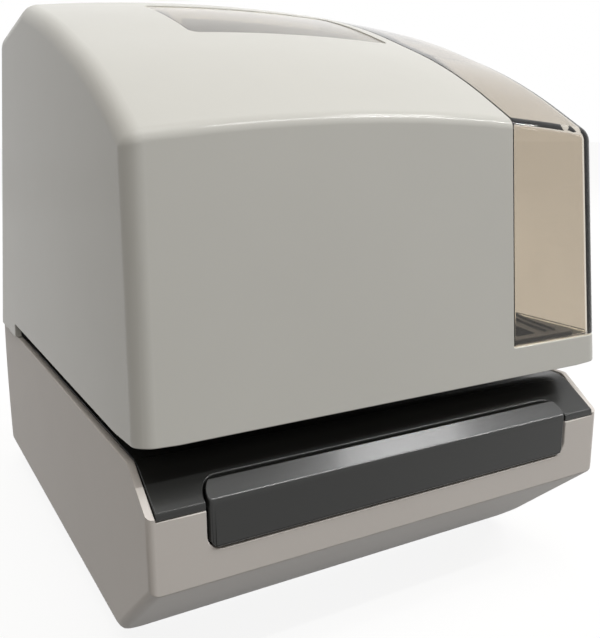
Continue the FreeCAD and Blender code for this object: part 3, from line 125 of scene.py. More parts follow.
def values(group, keys):
    return [group[key] for key in keys.split()]


def rectangle(x0, x1, y0, y1, radius=0):
    return [(x0, y0, radius), (x1, y0, radius), (x1, y1, radius), (x0, y1, radius)]


def around(x, y, half, reach, radius=0):
    return rectangle(x - half, x + half, y - reach, y + reach, radius)


# ---- Pieces from outlines ----

join = {"made": 0.002, "cut": 0.01}      # points nearer than this become one


def newPiece(name, data):
    piece = bpy.data.objects.new(name, data)
    scene.collection.objects.link(piece)
    return piece


def meshed(made):
    mesh = bpy.data.meshes.new("piece")
    made.to_mesh(mesh)
    made.free()
    return newPiece("piece", mesh)


def skin(loops):
    # piece through closed loops with as many points each, closed at both ends
    made = bmesh.new()
    rings = [[made.verts.new(p) for p in loop] for loop in loops]
    for here, onward in zip(rings, rings[1:]):
        for i in range(len(here)):
            made.faces.new((here[i - 1], here[i], onward[i], onward[i - 1]))
    made.faces.new(rings[0])
    made.faces.new(rings[-1])
    bmesh.ops.remove_doubles(made, verts=made.verts, dist=join["made"])
    bmesh.ops.recalc_face_normals(made, faces=made.faces)
    bmesh.ops.scale(made, vec=(mm, mm, mm), verts=made.verts)
    return meshed(made)


# an outline's point and a place along the axis: x takes (y, z), y takes (x, z) and z takes (x, y)
placeOn = {
    "x": lambda p, t: (t, p[0], p[1]),
    "y": lambda p, t: (p[0], t, p[1]),
    "z": lambda p, t: (p[0], p[1], t),
}


def prism(corners, axis, low, high, arcStep=1.0):
    points = outlinePoints(corners, outlineCounts(corners, arcStep))
    return skin([[placeOn[axis](p, t) for p in points] for t in (low, high)])


def turned(axis, a, b, profile, steps=40):
    # turned form round an axis through (a, b): profile gives radius and place along it, end to end
    angles = [2 * math.pi * k / steps for k in range(steps)]
    return skin([[placeOn[axis]((a + r * math.cos(t), b + r * math.sin(t)), along) for t in angles]
                 for r, along in profile])


def block(x0, x1, y0, y1, z0, z1):
    return prism(rectangle(x0, x1, y0, y1), "z", z0, z1)


def slab(z0, z1):
    return block(-far, far, -far, far, z0, z1)


def rod(axis, a, b, low, high, radius, steps=48):
    return turned(axis, a, b, [(radius, low), (radius, high)], steps)


def gather(pieces):
    # one piece of several, each with its own closed skin
    made = bmesh.new()
    for piece in pieces:
        made.from_mesh(piece.data)
        bpy.data.objects.remove(piece)
    return meshed(made)


def settle(piece):
    # bakes the modifiers into the mesh
    bpy.context.view_layer.update()
    graph = bpy.context.evaluated_depsgraph_get()
    made = bpy.data.meshes.new_from_object(piece.evaluated_get(graph))
    old = piece.data
    piece.modifiers.clear()
    piece.data = made
    bpy.data.meshes.remove(old)


def combine(piece, operation, tools):
    for tool in tools:
        change = piece.modifiers.new("combine", "BOOLEAN")
        change.operation, change.object, change.solver = operation, tool, "EXACT"
        settle(piece)
        bpy.data.objects.remove(tool)


def cut(piece, *tools):
    combine(piece, "DIFFERENCE", tools)


def unite(piece, *tools):
    combine(piece, "UNION", tools)


def within(piece, *tools):
    combine(piece, "INTERSECT", tools)


soft = {"flat": 0.05, "edge": 38.0, "sharp": 50.0, "weight": 60}


def softenEdges(piece, width, segments=2, keep=None):
    # rounds the sharp edges a little, but for those whose middle keep picks, and shades the rest smooth
    made = bmesh.new()
    made.from_mesh(piece.data)
    bmesh.ops.remove_doubles(made, verts=made.verts, dist=join["cut"] * mm)
    bmesh.ops.dissolve_degenerate(made, edges=made.edges, dist=join["cut"] * mm)
    bmesh.ops.dissolve_limit(made, angle_limit=math.radians(soft["flat"]), verts=made.verts,
                             edges=made.edges)
    weight = made.edges.layers.float.new("bevel_weight_edge")
    for edge in made.edges:
        middle = (edge.verts[0].co + edge.verts[1].co) / (2 * mm)
        bent = len(edge.link_faces) == 2 and edge.calc_face_angle(0.0) > math.radians(soft["edge"])
        edge[weight] = 1.0 if bent and not (keep and keep(middle)) else 0.0
    made.to_mesh(piece.data)
    made.free()
    bevel = piece.modifiers.new("round", "BEVEL")
    bevel.width, bevel.segments, bevel.limit_method = width * mm, segments, "WEIGHT"
    bevel.use_clamp_overlap, bevel.miter_outer = False, "MITER_ARC"
    settle(piece)
    piece.data.shade_smooth()
    piece.data.set_sharp_from_angle(angle=math.radians(soft["sharp"]))
    weighted = piece.modifiers.new("weighted", "WEIGHTED_NORMAL")
    weighted.weight, weighted.keep_sharp = soft["weight"], True
    settle(piece)
    return piece


def loftAcross(sideAt, rounds, halfAt, depth, inner, roundSteps=9):
    # closed form through side views from left to right; inner: the sections between the rounded edges
    radii = [max(radius - depth, 0.0) for radius in rounds]
    widest = max(radii)
    offsets = [widest * (1 - math.cos(math.pi / 2 * k / roundSteps)) for k in range(roundSteps + 1)]
    counts = outlineCounts(insetOutline(sideAt(0), depth))
    top = halfAt(None)

    def section(x, offset):
        depths = []
        for radius in radii:
            reach = max(radius - offset, 0.0) if offset is not None else 0.0
            depths.append(depth + radius - math.sqrt(radius * radius - reach * reach))
        return outlinePoints(insetOutline(sideAt(x), depths), counts)

    def edgeLoop(way, offset):
        # the side view changes along x, so each point takes it at its own x
        start, step = top - depth - offset, 3.0
        points = []
        for near, beyond in zip(section(way * start, offset), section(way * (start + step), offset)):
            p = near.lerp(beyond, (halfAt(near.y) - depth - offset - start) / step)
            points.append((way * (halfAt(p.y) - depth - offset), p.x, p.y))
        return points

    loops = [edgeLoop(-1, offset) for offset in offsets]
    loops += [[(x, p.x, p.y) for p in section(x, None)] for x in inner]
    loops += [edgeLoop(1, offset) for offset in reversed(offsets)]
    return skin(loops)


print("helpers ready")


# ---- Shader node helpers and shared effects ----

def feed(tree, node, inputs):
    # joins a socket to a node's input, or sets the input
    for key, value in inputs.items():
        if isinstance(value, bpy.types.NodeSocket):
            tree.links.new(value, node.inputs[key])
        else:
            node.inputs[key].default_value = value


def add(tree, kind, inputs=None, **settings):
    # new node: settings are its properties
    node = tree.nodes.new("ShaderNode" + kind)
    for key, value in settings.items():
        setattr(node, key, value)
    feed(tree, node, inputs or {})
    return node


def math2(tree, operation, a, b, clamp=False):
    return add(tree, "Math", {0: a, 1: b}, operation=operation, use_clamp=clamp).outputs[0]


def times(tree, a, b):
    return math2(tree, "MULTIPLY", a, b)


def mixed(tree, factor, a, b, mode="MIX"):
    node = add(tree, "Mix", {"Factor": factor}, data_type="RGBA", blend_type=mode)
    sockets = {socket.name: i for i, socket in enumerate(node.inputs) if socket.type == "RGBA"}
    feed(tree, node, {sockets["A"]: a, sockets["B"]: b})
    return [socket for socket in node.outputs if socket.type == "RGBA"][0]


def rescaled(tree, value, low, high):
    return add(tree, "MapRange", {"Value": value, "From Min": low, "From Max": high}).outputs["Result"]


def noise(tree, place, scale, detail, roughness=0.5):
    return add(tree, "TexNoise", {"Vector": place, "Scale": scale, "Detail": detail,
                                  "Roughness": roughness}).outputs["Fac"]


def varied(tree, pattern, amount):
    # the pattern's change to both sides of nothing
    return times(tree, math2(tree, "SUBTRACT", pattern, 0.5), amount)


def toned(tree, color, pattern, amount):
    shade = math2(tree, "ADD", 1.0, times(tree, varied(tree, pattern, amount), 2.0))
    grey = add(tree, "CombineColor", {0: shade, 1: shade, 2: shade}).outputs[0]
    return mixed(tree, 1.0, color, grey, "MULTIPLY")


def objectPlace(tree):
    return add(tree, "TexCoord").outputs["Object"]


def newTree(name, inputs, outputs):
    # empty node group; its inputs get their type from the value they start with
    tree = bpy.data.node_groups.new(name, "ShaderNodeTree")
    kinds = {1: "NodeSocketFloat", 3: "NodeSocketVector", 4: "NodeSocketColor"}
    for label, value in inputs.items():
        kind = kinds[len(value) if isinstance(value, tuple) else 1]
        tree.interface.new_socket(label, in_out="INPUT", socket_type=kind).default_value = value
    for label in outputs:
        kind = kinds[4 if label == "Color" else 1]
        tree.interface.new_socket(label, in_out="OUTPUT", socket_type=kind)
    return tree, tree.nodes.new("NodeGroupInput").outputs, tree.nodes.new("NodeGroupOutput")


def mouldedSurface():
    # moulded plastic: slow changes of tone, a fine grain, and gloss that changes in clouds
    tree, given, out = newTree("mouldedSurface", {
        "Color": (0.5, 0.5, 0.5, 1), "Tone Change": 0.05, "Tone Size": 12.0, "Grain Size": 900.0,
        "Roughness": 0.35, "Gloss Change": 0.08}, ("Color", "Roughness", "Height"))
    place = objectPlace(tree)
    tone = noise(tree, place, given["Tone Size"], 4.0, 0.6)
    cloud = noise(tree, place, 60.0, 6.0, 0.7)
    gloss = varied(tree, cloud, given["Gloss Change"])
    feed(tree, out, {
        "Color": toned(tree, given["Color"], tone, given["Tone Change"]),
        "Roughness": math2(tree, "ADD", given["Roughness"], gloss, True),
        "Height": noise(tree, place, given["Grain Size"], 2.0)})
    return tree


def dustFilm():
    # mask of the dust that settles on faces that look up, in patches
    tree, given, out = newTree("dustFilm", {"Amount": 0.2, "Patch Size": 40.0}, ("Mask",))
    normal = add(tree, "NewGeometry").outputs["Normal"]
    facing = rescaled(tree, add(tree, "SeparateXYZ", {0: normal}).outputs["Z"], 0.1, 0.95)
    patch = noise(tree, objectPlace(tree), given["Patch Size"], 8.0, 0.75)
    film = times(tree, facing, rescaled(tree, patch, 0.35, 0.75))
    feed(tree, out, {"Mask": times(tree, film, given["Amount"])})
    return tree


def edgeWear():
    # mask of the edges where a finish is rubbed thin
    tree, given, out = newTree("edgeWear", {"Width": 0.0004, "Amount": 0.5}, ("Mask",))
    rounded = add(tree, "Bevel", {"Radius": given["Width"]}, samples=4).outputs["Normal"]
    flat = add(tree, "NewGeometry").outputs["Normal"]
    same = add(tree, "VectorMath", {0: rounded, 1: flat}, operation="DOT_PRODUCT").outputs["Value"]
    broken = noise(tree, objectPlace(tree), 350.0, 6.0)
    worn = times(tree, rescaled(tree, same, 0.99, 0.80), rescaled(tree, broken, 0.35, 0.6))
    feed(tree, out, {"Mask": times(tree, worn, given["Amount"])})
    return tree


def metalSurface():
    # rolled or ground metal: fine lines along one way, faint stains
    tree, given, out = newTree("metalSurface", {
        "Color": (0.6, 0.6, 0.6, 1), "Stretch": (1.0, 30.0, 30.0), "Line Size": 60.0, "Stain": 0.12,
        "Roughness": 0.3, "Gloss Change": 0.2}, ("Color", "Roughness", "Height"))
    place = objectPlace(tree)
    drawn = add(tree, "VectorMath", {0: place, 1: given["Stretch"]}, operation="MULTIPLY")
    lines = noise(tree, drawn.outputs["Vector"], given["Line Size"], 5.0)
    stain = noise(tree, place, 45.0, 6.0, 0.65)
    gloss = varied(tree, lines, given["Gloss Change"])
    feed(tree, out, {
        "Color": toned(tree, given["Color"], stain, given["Stain"]),
        "Roughness": math2(tree, "ADD", given["Roughness"], gloss, True), "Height": lines})
    return tree


shared = {make.__name__: make() for make in (mouldedSurface, dustFilm, edgeWear, metalSurface)}


def placeGroup(tree, name, inputs):
    node = tree.nodes.new("ShaderNodeGroup")
    node.node_tree = shared[name]
    feed(tree, node, inputs)
    return node.outputs


# ---- Materials ----

def newMaterial():
    material = bpy.data.materials.new("finish")
    material.use_nodes = True
    tree = material.node_tree
    tree.nodes.clear()
    shader = add(tree, "BsdfPrincipled")
    return material, tree, shader, add(tree, "OutputMaterial", {"Surface": shader.outputs[0]})


def rubbed(tree, color, wear, wearColor):
    mask = placeGroup(tree, "edgeWear", {"Amount": wear})["Mask"]
    return mixed(tree, mask, color, wearColor)


def bumped(tree, height, depth, strength):
    return add(tree, "Bump", {"Height": height, "Distance": depth * mm, "Strength": strength}).outputs[0]


def plastic(color, roughness, tone=0.05, toneSize=14.0, grain=900.0, grainDepth=0.02, gloss=0.06, dust=0.0,
            dustColor=(0.45, 0.43, 0.40, 1), wear=0.0, wearColor=(0.6, 0.6, 0.6, 1), coat=0.0,
            coatRough=0.06, shine=0.5):
    material, tree, shader, _ = newMaterial()
    surface = placeGroup(tree, "mouldedSurface", {
        "Color": (*color, 1), "Tone Change": tone, "Tone Size": toneSize, "Grain Size": grain,
        "Roughness": roughness, "Gloss Change": gloss})
    finish, rough = surface["Color"], surface["Roughness"]
    if wear:
        finish = rubbed(tree, finish, wear, wearColor)
    if dust:
        mask = placeGroup(tree, "dustFilm", {"Amount": dust})["Mask"]
        finish = mixed(tree, mask, finish, dustColor)
        rough = math2(tree, "ADD", rough, times(tree, mask, 0.6), True)
    feed(tree, shader, {
        "Base Color": finish, "Roughness": rough, "Specular IOR Level": shine, "Coat Weight": coat,
        "Coat Roughness": coatRough, "Normal": bumped(tree, surface["Height"], grainDepth, 0.6)})
    return material


def metal(color, roughness, stretch=(1, 30, 30), lineSize=60.0, stain=0.1, gloss=0.2, wear=0.0,
          wearColor=(0.8, 0.8, 0.8, 1), metallic=1.0, depth=0.02):
    material, tree, shader, _ = newMaterial()
    surface = placeGroup(tree, "metalSurface", {
        "Color": (*color, 1), "Stretch": stretch, "Line Size": lineSize, "Stain": stain,
        "Roughness": roughness, "Gloss Change": gloss})
    finish = surface["Color"]
    if wear:
        finish = rubbed(tree, finish, wear, wearColor)
    feed(tree, shader, {
        "Base Color": finish, "Roughness": surface["Roughness"], "Metallic": metallic,
        "Normal": bumped(tree, surface["Height"], depth, 0.5)})
    return material


def clearPlastic(color, shadowColor, roughness=0.03, ior=1.36):
    # see-through plastic; its shadow is let through tinted, so that what lies behind it is lit
    material, tree, shader, out = newMaterial()
    surface = placeGroup(tree, "mouldedSurface", {
        "Color": (*color, 1), "Tone Change": 0.05, "Tone Size": 25.0, "Grain Size": 500.0,
        "Roughness": roughness, "Gloss Change": 0.03})
    feed(tree, shader, {"Base Color": surface["Color"], "Roughness": surface["Roughness"], "IOR": ior,
                        "Transmission Weight": 1.0})
    through = add(tree, "BsdfTransparent", {"Color": (*shadowColor, 1)})
    isShadow = add(tree, "LightPath").outputs["Is Shadow Ray"]
    both = add(tree, "MixShader", {0: isShadow, 1: shader.outputs[0], 2: through.outputs[0]})
    feed(tree, out, {"Surface": both.outputs[0]})
    return material


finishes = {
    "white_shell": plastic((0.83, 0.792, 0.755), 0.48, grain=700, dust=0.06, wear=0.15,
                           wearColor=(0.86, 0.84, 0.81, 1), coat=0.06, coatRough=0.2, shine=0.1),
    "white_cover": plastic((0.73, 0.73, 0.69), 0.50, tone=0.04, grain=700, dust=0.04, coat=0.35,
                           coatRough=0.12, shine=0.10),
    "dark_grey": plastic((0.030, 0.031, 0.030), 0.24, tone=0.25, grain=600, wear=0.2,
                         wearColor=(0.09, 0.09, 0.09, 1), coat=0.12, coatRough=0.10, shine=0.35),
    "black_plastic": plastic((0.02, 0.02, 0.02), 0.42, tone=0.2, dust=0.15, wear=0.4,
                             wearColor=(0.09, 0.09, 0.09, 1)),
    "gloss_black": plastic((0.016, 0.016, 0.017), 0.30, tone=0.2, gloss=0.05, wear=0.5,
                           wearColor=(0.16, 0.16, 0.16, 1), coat=0.05, shine=0.15),
    "black_rubber": plastic((0.018, 0.018, 0.018), 0.75, tone=0.3, grain=400, grainDepth=0.08, dust=0.3),
    "belt_rubber": plastic((0.02, 0.02, 0.02), 0.68, tone=0.3, grain=500, grainDepth=0.06, dust=0.2),
    "white_gear": plastic((0.72, 0.72, 0.68), 0.4, tone=0.06),
    "knob_plastic": plastic((0.05, 0.09, 0.28), 0.35, tone=0.15, wear=0.3, wearColor=(0.2, 0.25, 0.45, 1)),
    "ink_fabric": plastic((0.012, 0.006, 0.02), 0.85, tone=0.3, grain=2500, grainDepth=0.06),
    "circuit_board": plastic((0.012, 0.09, 0.045), 0.35, tone=0.25, toneSize=260, grain=1500),
    "white_nylon": plastic((0.70, 0.70, 0.66), 0.5),
    "battery_wrap": plastic((0.03, 0.10, 0.24), 0.28, tone=0.12, wear=0.3, wearColor=(0.25, 0.3, 0.4, 1)),
    "key_plastic": plastic((0.05, 0.05, 0.05), 0.45, tone=0.2, wear=0.4, wearColor=(0.2, 0.2, 0.2, 1)),
    "zinc_steel": metal((0.58, 0.59, 0.60), 0.38, (1, 8, 8), 70, 0.25, 0.25, wear=0.4),
    "black_steel": metal((0.03, 0.03, 0.03), 0.45, (8, 8, 8), 90, 0.3, 0.2, wear=0.6,
                         wearColor=(0.35, 0.35, 0.35, 1), metallic=0.6),
    "bright_steel": metal((0.62, 0.62, 0.63), 0.20, (1, 60, 60), 40, 0.1, 0.12),
    "bright_screws": metal((0.66, 0.66, 0.64), 0.25, (10, 10, 10), 80, 0.15, 0.1, wear=0.3),
    "chrome_lock": metal((0.72, 0.72, 0.73), 0.10, (10, 10, 10), 60, 0.06, 0.06),
    "head_metal": metal((0.30, 0.30, 0.31), 0.42, (8, 8, 8), 120, 0.25, 0.2, wear=0.4),
    "brass_gear": metal((0.62, 0.43, 0.18), 0.28, (10, 10, 10), 90, 0.2, 0.15),
    "silver_frame": metal((0.48, 0.49, 0.48), 0.30, (1, 40, 40), 60, 0.1, 0.15),
    "display_glass": plastic((0.10, 0.12, 0.09), 0.10, tone=0.08, gloss=0.03, coat=0.4),
    "smoked_plastic": clearPlastic((0.68, 0.625, 0.545), (0.60, 0.56, 0.49)),
}
for name, material in finishes.items():
    material.name = name
slots = {part["node"]: part["material_slot"] for part in frame["record"]["subparts"]}
for node, piece in frame["nodes"].items():
    piece.data.materials.clear()
    piece.data.materials.append(finishes[slots[node]])
print("finishes placed on", len(slots), "nodes")


def dress(piece, name, body, node):
    # the piece takes its name, and the node's place, body and finish
    piece.name = piece.data.name = name
    piece.data.materials.clear()
    piece.data.materials.append(finishes[slots[node]])
    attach(piece, body)
    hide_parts(node)


# ---- Base ----

base = {
    "front": -94.7, "rear": 94.7, "half": 72.6, "low": 2.6, "wall": 2.0, "rim": 61.7,
    "frontLow": 32.8, "setback": 34.9, "bend": (44.0, 183.0), "lean": math.tan(math.radians(16.5)),
    "toeRound": 12.0, "lowRound": 8.0, "uprightRound": 1.6, "slopeRound": 2.5,
    "above": 40, "cavityAbove": 30, "sections": [-60, -40, -20, 0, 20, 40, 60],
    "bottomHole": (62.6, 38.9, 91.7), "rimSlope": (13.2, 3.0, 51.6), "frontTop": 51.4,
    "recess": (-58.1, 59.0, 40.9), "recessRound": 4.0,
    "ledge": (3.0, 54.0, 48.9, 51.6), "post": (52, 4, -82, -73, 34.0),
    "pinHole": 11, "inlet": (-50.7, -39.3, 91.7, 96, 10.3, 21.7), "edge": 0.3, "keptSharp": (5, 3.5, 50.5),
}


def rearWall(z):
    return base["rear"] - (z - base["bend"][0]) * base["lean"]


def baseForm(depth):
    high = base["rim"] + base["above"]
    side = [(base["front"] + base["setback"], base["low"], base["toeRound"]),
            (base["rear"], base["low"], 0), (base["rear"], *base["bend"]), (rearWall(high), high, 0),
            (base["front"], high, 0), (base["front"], base["frontLow"], 0)]
    rounds = [base["lowRound"]] + [base["uprightRound"]] * 4 + [base["slopeRound"]]
    return loftAcross(lambda x: side, rounds, lambda z: base["half"], depth, base["sections"])


hinge = {
    "places": (-42.0, 42.0), "axis": (89.274, 61.9), "radius": 3.0, "half": 10.0, "middle": 3.2,
    "side": 0.2, "gap": 0.4, "pin": 1.25, "pinEnd": (0.55, 0.5),
}


def knuckles(ends, gap=0):
    # the two outer knuckles of each hinge, or its middle one, with a gap round them
    half, middle = hinge["half"], hinge["middle"]
    inner = middle + hinge["side"]
    spans = [(-half, -inner), (inner, half)] if ends else [(-middle, middle)]
    return [rod("x", *hinge["axis"], x + start - gap / 2, x + stop + gap / 2, hinge["radius"] + gap)
            for x in hinge["places"] for start, stop in spans]


def pinHoles(half, radius):
    return [rod("x", *hinge["axis"], x - half, x + half, radius, 24) for x in hinge["places"]]


def openTop(left, right, low, radius):
    # outline of an opening with rounded lower corners
    return [(left, low, radius), (right, low, radius), (right, far, 0), (left, far, 0)]


def makeBase():
    front, half, wall, rim = values(base, "front half wall rim")
    shell = baseForm(0)
    cavity = baseForm(wall)
    cut(cavity, slab(rim + base["cavityAbove"], far))
    wide, ahead, behind = base["bottomHole"]
    cut(shell, cavity, block(-wide, wide, front + ahead, behind, -10, base["low"] + wall + 1))
    run, radius, low = base["rimSlope"]
    cut(shell, prism([(far, rim, 0), (front + run, rim, radius), (front - 1, low, 0), (front - 5, low, 0),
                      (front - 5, far, 0), (far, far, 0)], "x", -far, far))
    cut(shell, block(-half + wall, half - wall, front - 1, front + wall + 1, base["frontTop"], far))
    cut(shell, prism(openTop(*base["recess"], base["recessRound"]), "y", front - 1, front + wall + 1))
    deep, rear, z0, z1 = base["ledge"]
    place, wide, y0, y1, high = base["post"]
    for side in (-1, 1):
        xs = sorted((side * (half - wall / 2), side * (half - wall - deep)))
        ledge = block(*xs, front + wall / 2, rear, z0, z1)
        post = block(side * place - wide, side * place + wide, y0, y1, base["low"], high)
        for part in (ledge, post):
            within(part, baseForm(wall / 2))
            unite(shell, part)
    unite(shell, *knuckles(True))
    cut(shell, *knuckles(False, hinge["gap"]), *pinHoles(base["pinHole"], hinge["pin"]),
        block(*base["inlet"]))
    x, y, z = base["keptSharp"]
    return softenEdges(shell, base["edge"],
                       keep=lambda p: p.z > z and p.y < front + y and abs(p.x) > half - x)


dress(makeBase(), "base_shell", "base", "base_housing")
print("base made")


# ---- Paper table and print bar ----

table = {
    "half": 70.4, "rear": 54.0, "top": 61.4, "bend": (12.7, 10.0), "lip": (0.1, 53.4), "low": 41.6,
    "round": 1.0, "edge": 0.3, "wall": 2.0, "under": 51.6, "notchRear": -88.5, "notchRound": 5.0,
    "platen": (-46.2, 46.2, -66.7, -57.3, 60.2, far), "stopSlit": (-1.7, 1.7, -23.5, 13.5, 58.4, far),
}


def makeTable():
    half, rear, low, top, wall, radius = values(table, "half rear low top wall round")
    front = base["front"]
    run, bendRound = table["bend"]
    back, lip = table["lip"]
    side = [(rear, top, radius), (front + run, top, bendRound), (front + back, lip, radius),
            (front + back, low, 0), (rear, low, 0)]
    tray = prism(side, "x", -half, half)
    cut(tray, prism(insetOutline(side, wall), "x", -half + wall, half - wall), slab(0, table["under"]))
    left, right = base["recess"][:2]
    notch, radius = table["notchRear"], table["notchRound"]
    cut(tray, prism([(left, -far, 0), (right, -far, 0), (right, notch, radius), (left, notch, radius)],
                    "z", 0, far), block(*table["platen"]), block(*table["stopSlit"]))
    return softenEdges(tray, table["edge"])


bar = {
    "left": -57.5, "right": 58.4, "front": -95.28, "rear": -89.7, "low": 41.4, "lip": 53.5, "top": 58.1,
    "bottomRound": 1.0, "lipRound": 2.2, "topRound": 0.6, "endRound": 1.6, "rearRound": 3.8,
    "lowRound": 3.0, "wall": 1.6, "inner": 55.3, "back": -84.1, "sunk": 0.8, "edge": (0.35, 3),
    "guides": (-45, 45), "guide": (46.25, 2.5, -76.0), "tongue": (4.0, 44.75, 47.75, -85.2),
}


def makeBar():
    left, right, front, rear, low, top, inner, back = values(bar, "left right front rear low top inner back")
    face = [(front, low, bar["bottomRound"]), (front, bar["lip"], bar["lipRound"]),
            (rear, top, bar["topRound"])]
    body = prism(face + [(rear, low, 0)], "x", left, right)
    within(body, prism(openTop(left, right, low, bar["lowRound"]), "y", front - 1, rear + 1))
    radius, rearRound = bar["endRound"], bar["rearRound"]
    within(body, prism([(left, front, radius), (right, front, radius), (right, rear, rearRound),
                        (left, rear, rearRound)], "z", 0, far))
    hollow = prism(insetOutline(face + [(back, top, 0), (back, low, 0)], bar["wall"]),
                   "x", -inner, inner)
    cut(hollow, slab(bar["lip"], far))
    cut(body, hollow)
    z, radius, end = bar["guide"]
    unite(body, *(rod("y", x, z, front + bar["sunk"], end, radius, 32) for x in bar["guides"]))
    half, z0, z1, end = bar["tongue"]
    unite(body, block(-half, half, front + bar["sunk"], end, z0, z1))
    return softenEdges(body, *bar["edge"])


dress(makeTable(), "table_tray", "base", "paper_table")
dress(makeBar(), "bar_front", "print_bar", "print_bar")
print("table and bar made")


# ---- Cover, smoked corner and window ----

cover = {
    "half": 73.5, "low": 67.3, "draft": 0.036, "wall": 2.5, "hairline": 62.1,
    "frontLow": (-93.3, 68.2), "frontDraft": 0.083, "ridge": 136.9, "crown": 538.0, "edgeRound": 4.6,
    "cornerRise": 0.5, "cornerIn": 63.5, "cornerRound": 10, "cornerHigh": 5,
    "step": (56.0, 1.0), "bow": (-75.7, 30.0), "before": -114.7,
    "top": [(54.0, 171.6, 6.0), (16.0, 176.5, 12.0), (-13.0, 169.6, 300.0), (-60.5, 152.6, 200.0)],
    "ridgeRound": 4.5, "breakZ": 176.5, "rightSections": (46, 54, 62),
    "sections": (-62, -54, -46, -38, -30, -22, -14, -7, 0, 7, 14, 22, 30),
    "seamX": 38.4, "seamZ": 76.9, "seamY": 20.0, "gap": 0.25,
    "window": (-0.5, -15.0, 33.5, 21.0), "windowCorner": 3.0, "paneDepth": 0.3, "paneGap": 0.3,
    "windowLedge": (2.0, 2.0, -1.6), "pinHole": 10, "pinRoom": 0.05, "edge": 0.3, "paneEdge": 0.2,
    "bowStep": 4.0,
    "lock": (38.0, 95.0, 67.5, 80, 5.05),
}


def coverHalf(z):
    return cover["half"] - ((cover["breakZ"] if z is None else z) - cover["low"]) * cover["draft"]


def frontWall(z):
    return cover["frontLow"][0] + (z - cover["frontLow"][1]) * cover["frontDraft"]


def coverSide(x):
    low = cover["hairline"] - cover["wall"] - 1
    half = coverHalf(None)
    rise = (half * half - x * x) / (2 * cover["crown"])
    top = [(y, z + rise, radius) for y, z, radius in cover["top"]]
    top[0] = (rearWall(top[0][1]), *top[0][1:])
    ridge = cover["ridge"] + rise
    return ([(frontWall(low), low, 0), (rearWall(low), low, 0)] + top
            + [(frontWall(ridge), ridge, cover["ridgeRound"])])


def coverForm(depth):
    rounds = [0.0] + [cover["edgeRound"]] * (len(coverSide(0)) - 1)
    seam = cover["seamX"]
    inner = [*cover["sections"], seam, seam + cover["gap"], *cover["rightSections"]]
    return loftAcross(coverSide, rounds, coverHalf, depth, inner)


def belowCover():
    # all that lies under the cover's lower edge, with its step at the rear and its rise at the corners
    ahead, low = cover["frontLow"]
    before, hairline = values(cover, "before hairline")
    corner = low + cover["cornerRise"]
    (step, radius), (bow, bowRound) = cover["step"], cover["bow"]
    below = prism([(before, 0, 0), (far, 0, 0), (far, hairline, 0), (step, hairline, 0),
                   (step, cover["low"], radius), (bow, cover["low"], bowRound), (ahead, corner, 0),
                   (before, corner, 0)], "x", -far, far, cover["bowStep"])
    half, wide, radius = values(cover, "cornerIn half cornerRound")
    high = corner + cover["cornerHigh"]
    cut(below, prism([(-half, low, radius), (half, low, radius), (wide, corner, 0), (wide, high, 0),
                      (-wide, high, 0), (-wide, corner, 0)], "y", before, bow))
    return below


def smokeBox(gap):
    return block(cover["seamX"] + gap, far, -far, cover["seamY"] - gap, cover["seamZ"] + gap, far)


def windowPrism(grow):
    x, y, half, reach = cover["window"]
    outline = rectangle(x - half - grow, x + half + grow, y - reach - grow, y + reach + grow,
                        cover["windowCorner"] + grow)
    return prism(outline, "z", cover["ridge"], far)


def makeShell():
    shell = coverForm(0)
    cut(shell, coverForm(cover["wall"]), belowCover())
    return shell


def makeCover(shell):
    cut(shell, smokeBox(0))
    grow, deep, shrink = cover["windowLedge"]
    ledge = coverForm(cover["wall"] / 2)
    cut(ledge, coverForm(cover["wall"] + deep))
    within(ledge, windowPrism(grow))
    unite(shell, ledge)
    pane = windowPrism(0)
    cut(pane, coverForm(cover["wall"]))
    cut(shell, pane, windowPrism(shrink))
    unite(shell, *knuckles(False))
    y, z, inside, outside, radius = cover["lock"]
    cut(shell, *knuckles(True, hinge["gap"]),
        *pinHoles(cover["pinHole"], hinge["pin"] + cover["pinRoom"]),
        rod("x", y, z, inside, outside, radius))
    return softenEdges(shell, cover["edge"])


def makeWindow():
    pane = coverForm(cover["paneDepth"])
    cut(pane, coverForm(cover["wall"]))
    within(pane, windowPrism(-cover["paneGap"]))
    return softenEdges(pane, cover["paneEdge"])


def makeCorner(shell):
    corner = newPiece("piece", shell.data.copy())
    within(corner, smokeBox(cover["gap"]))
    return softenEdges(corner, cover["edge"])


shell = makeShell()
corner = makeCorner(shell)
dress(makeCover(shell), "cover_shell", "cover", "upper_cover")
dress(corner, "smoked_corner", "cover", "smoked_cover")
dress(makeWindow(), "window_pane", "cover", "top_window")
print("cover, corner and window made")


# ---- Display under the window ----

display = {
    "middle": (-0.5, -15.0, 164.63), "tilt": 17.0, "size": (62.0, 34.0, 6.0), "round": 1.0,
    "glass": (56.0, 20.0, 1.1), "glassRound": 0.6, "room": 0.1, "lip": 0.9, "ring": (0.6, 1.2, -0.5, 0.35),
    "tab": (3.4, 1.2, 0.8), "tabPlaces": (-24, -8, 8, 24), "tabSunk": 0.1,
    "pins": 20, "pinPitch": 2.54, "pinRow": -19.2, "pin": (0.64, 4.2), "collar": (2.2, 2.2),
    "edge": 0.15, "glassEdge": 0.2,
}


def tiltedUp(piece):
    # places a piece made flat, with its face at zero, under the window
    x, y, z = (value * mm for value in display["middle"])
    turn = Matrix.Rotation(math.radians(display["tilt"]), 4, "X")
    piece.data.transform(Matrix.Translation((x, y, z)) @ turn)
    return piece


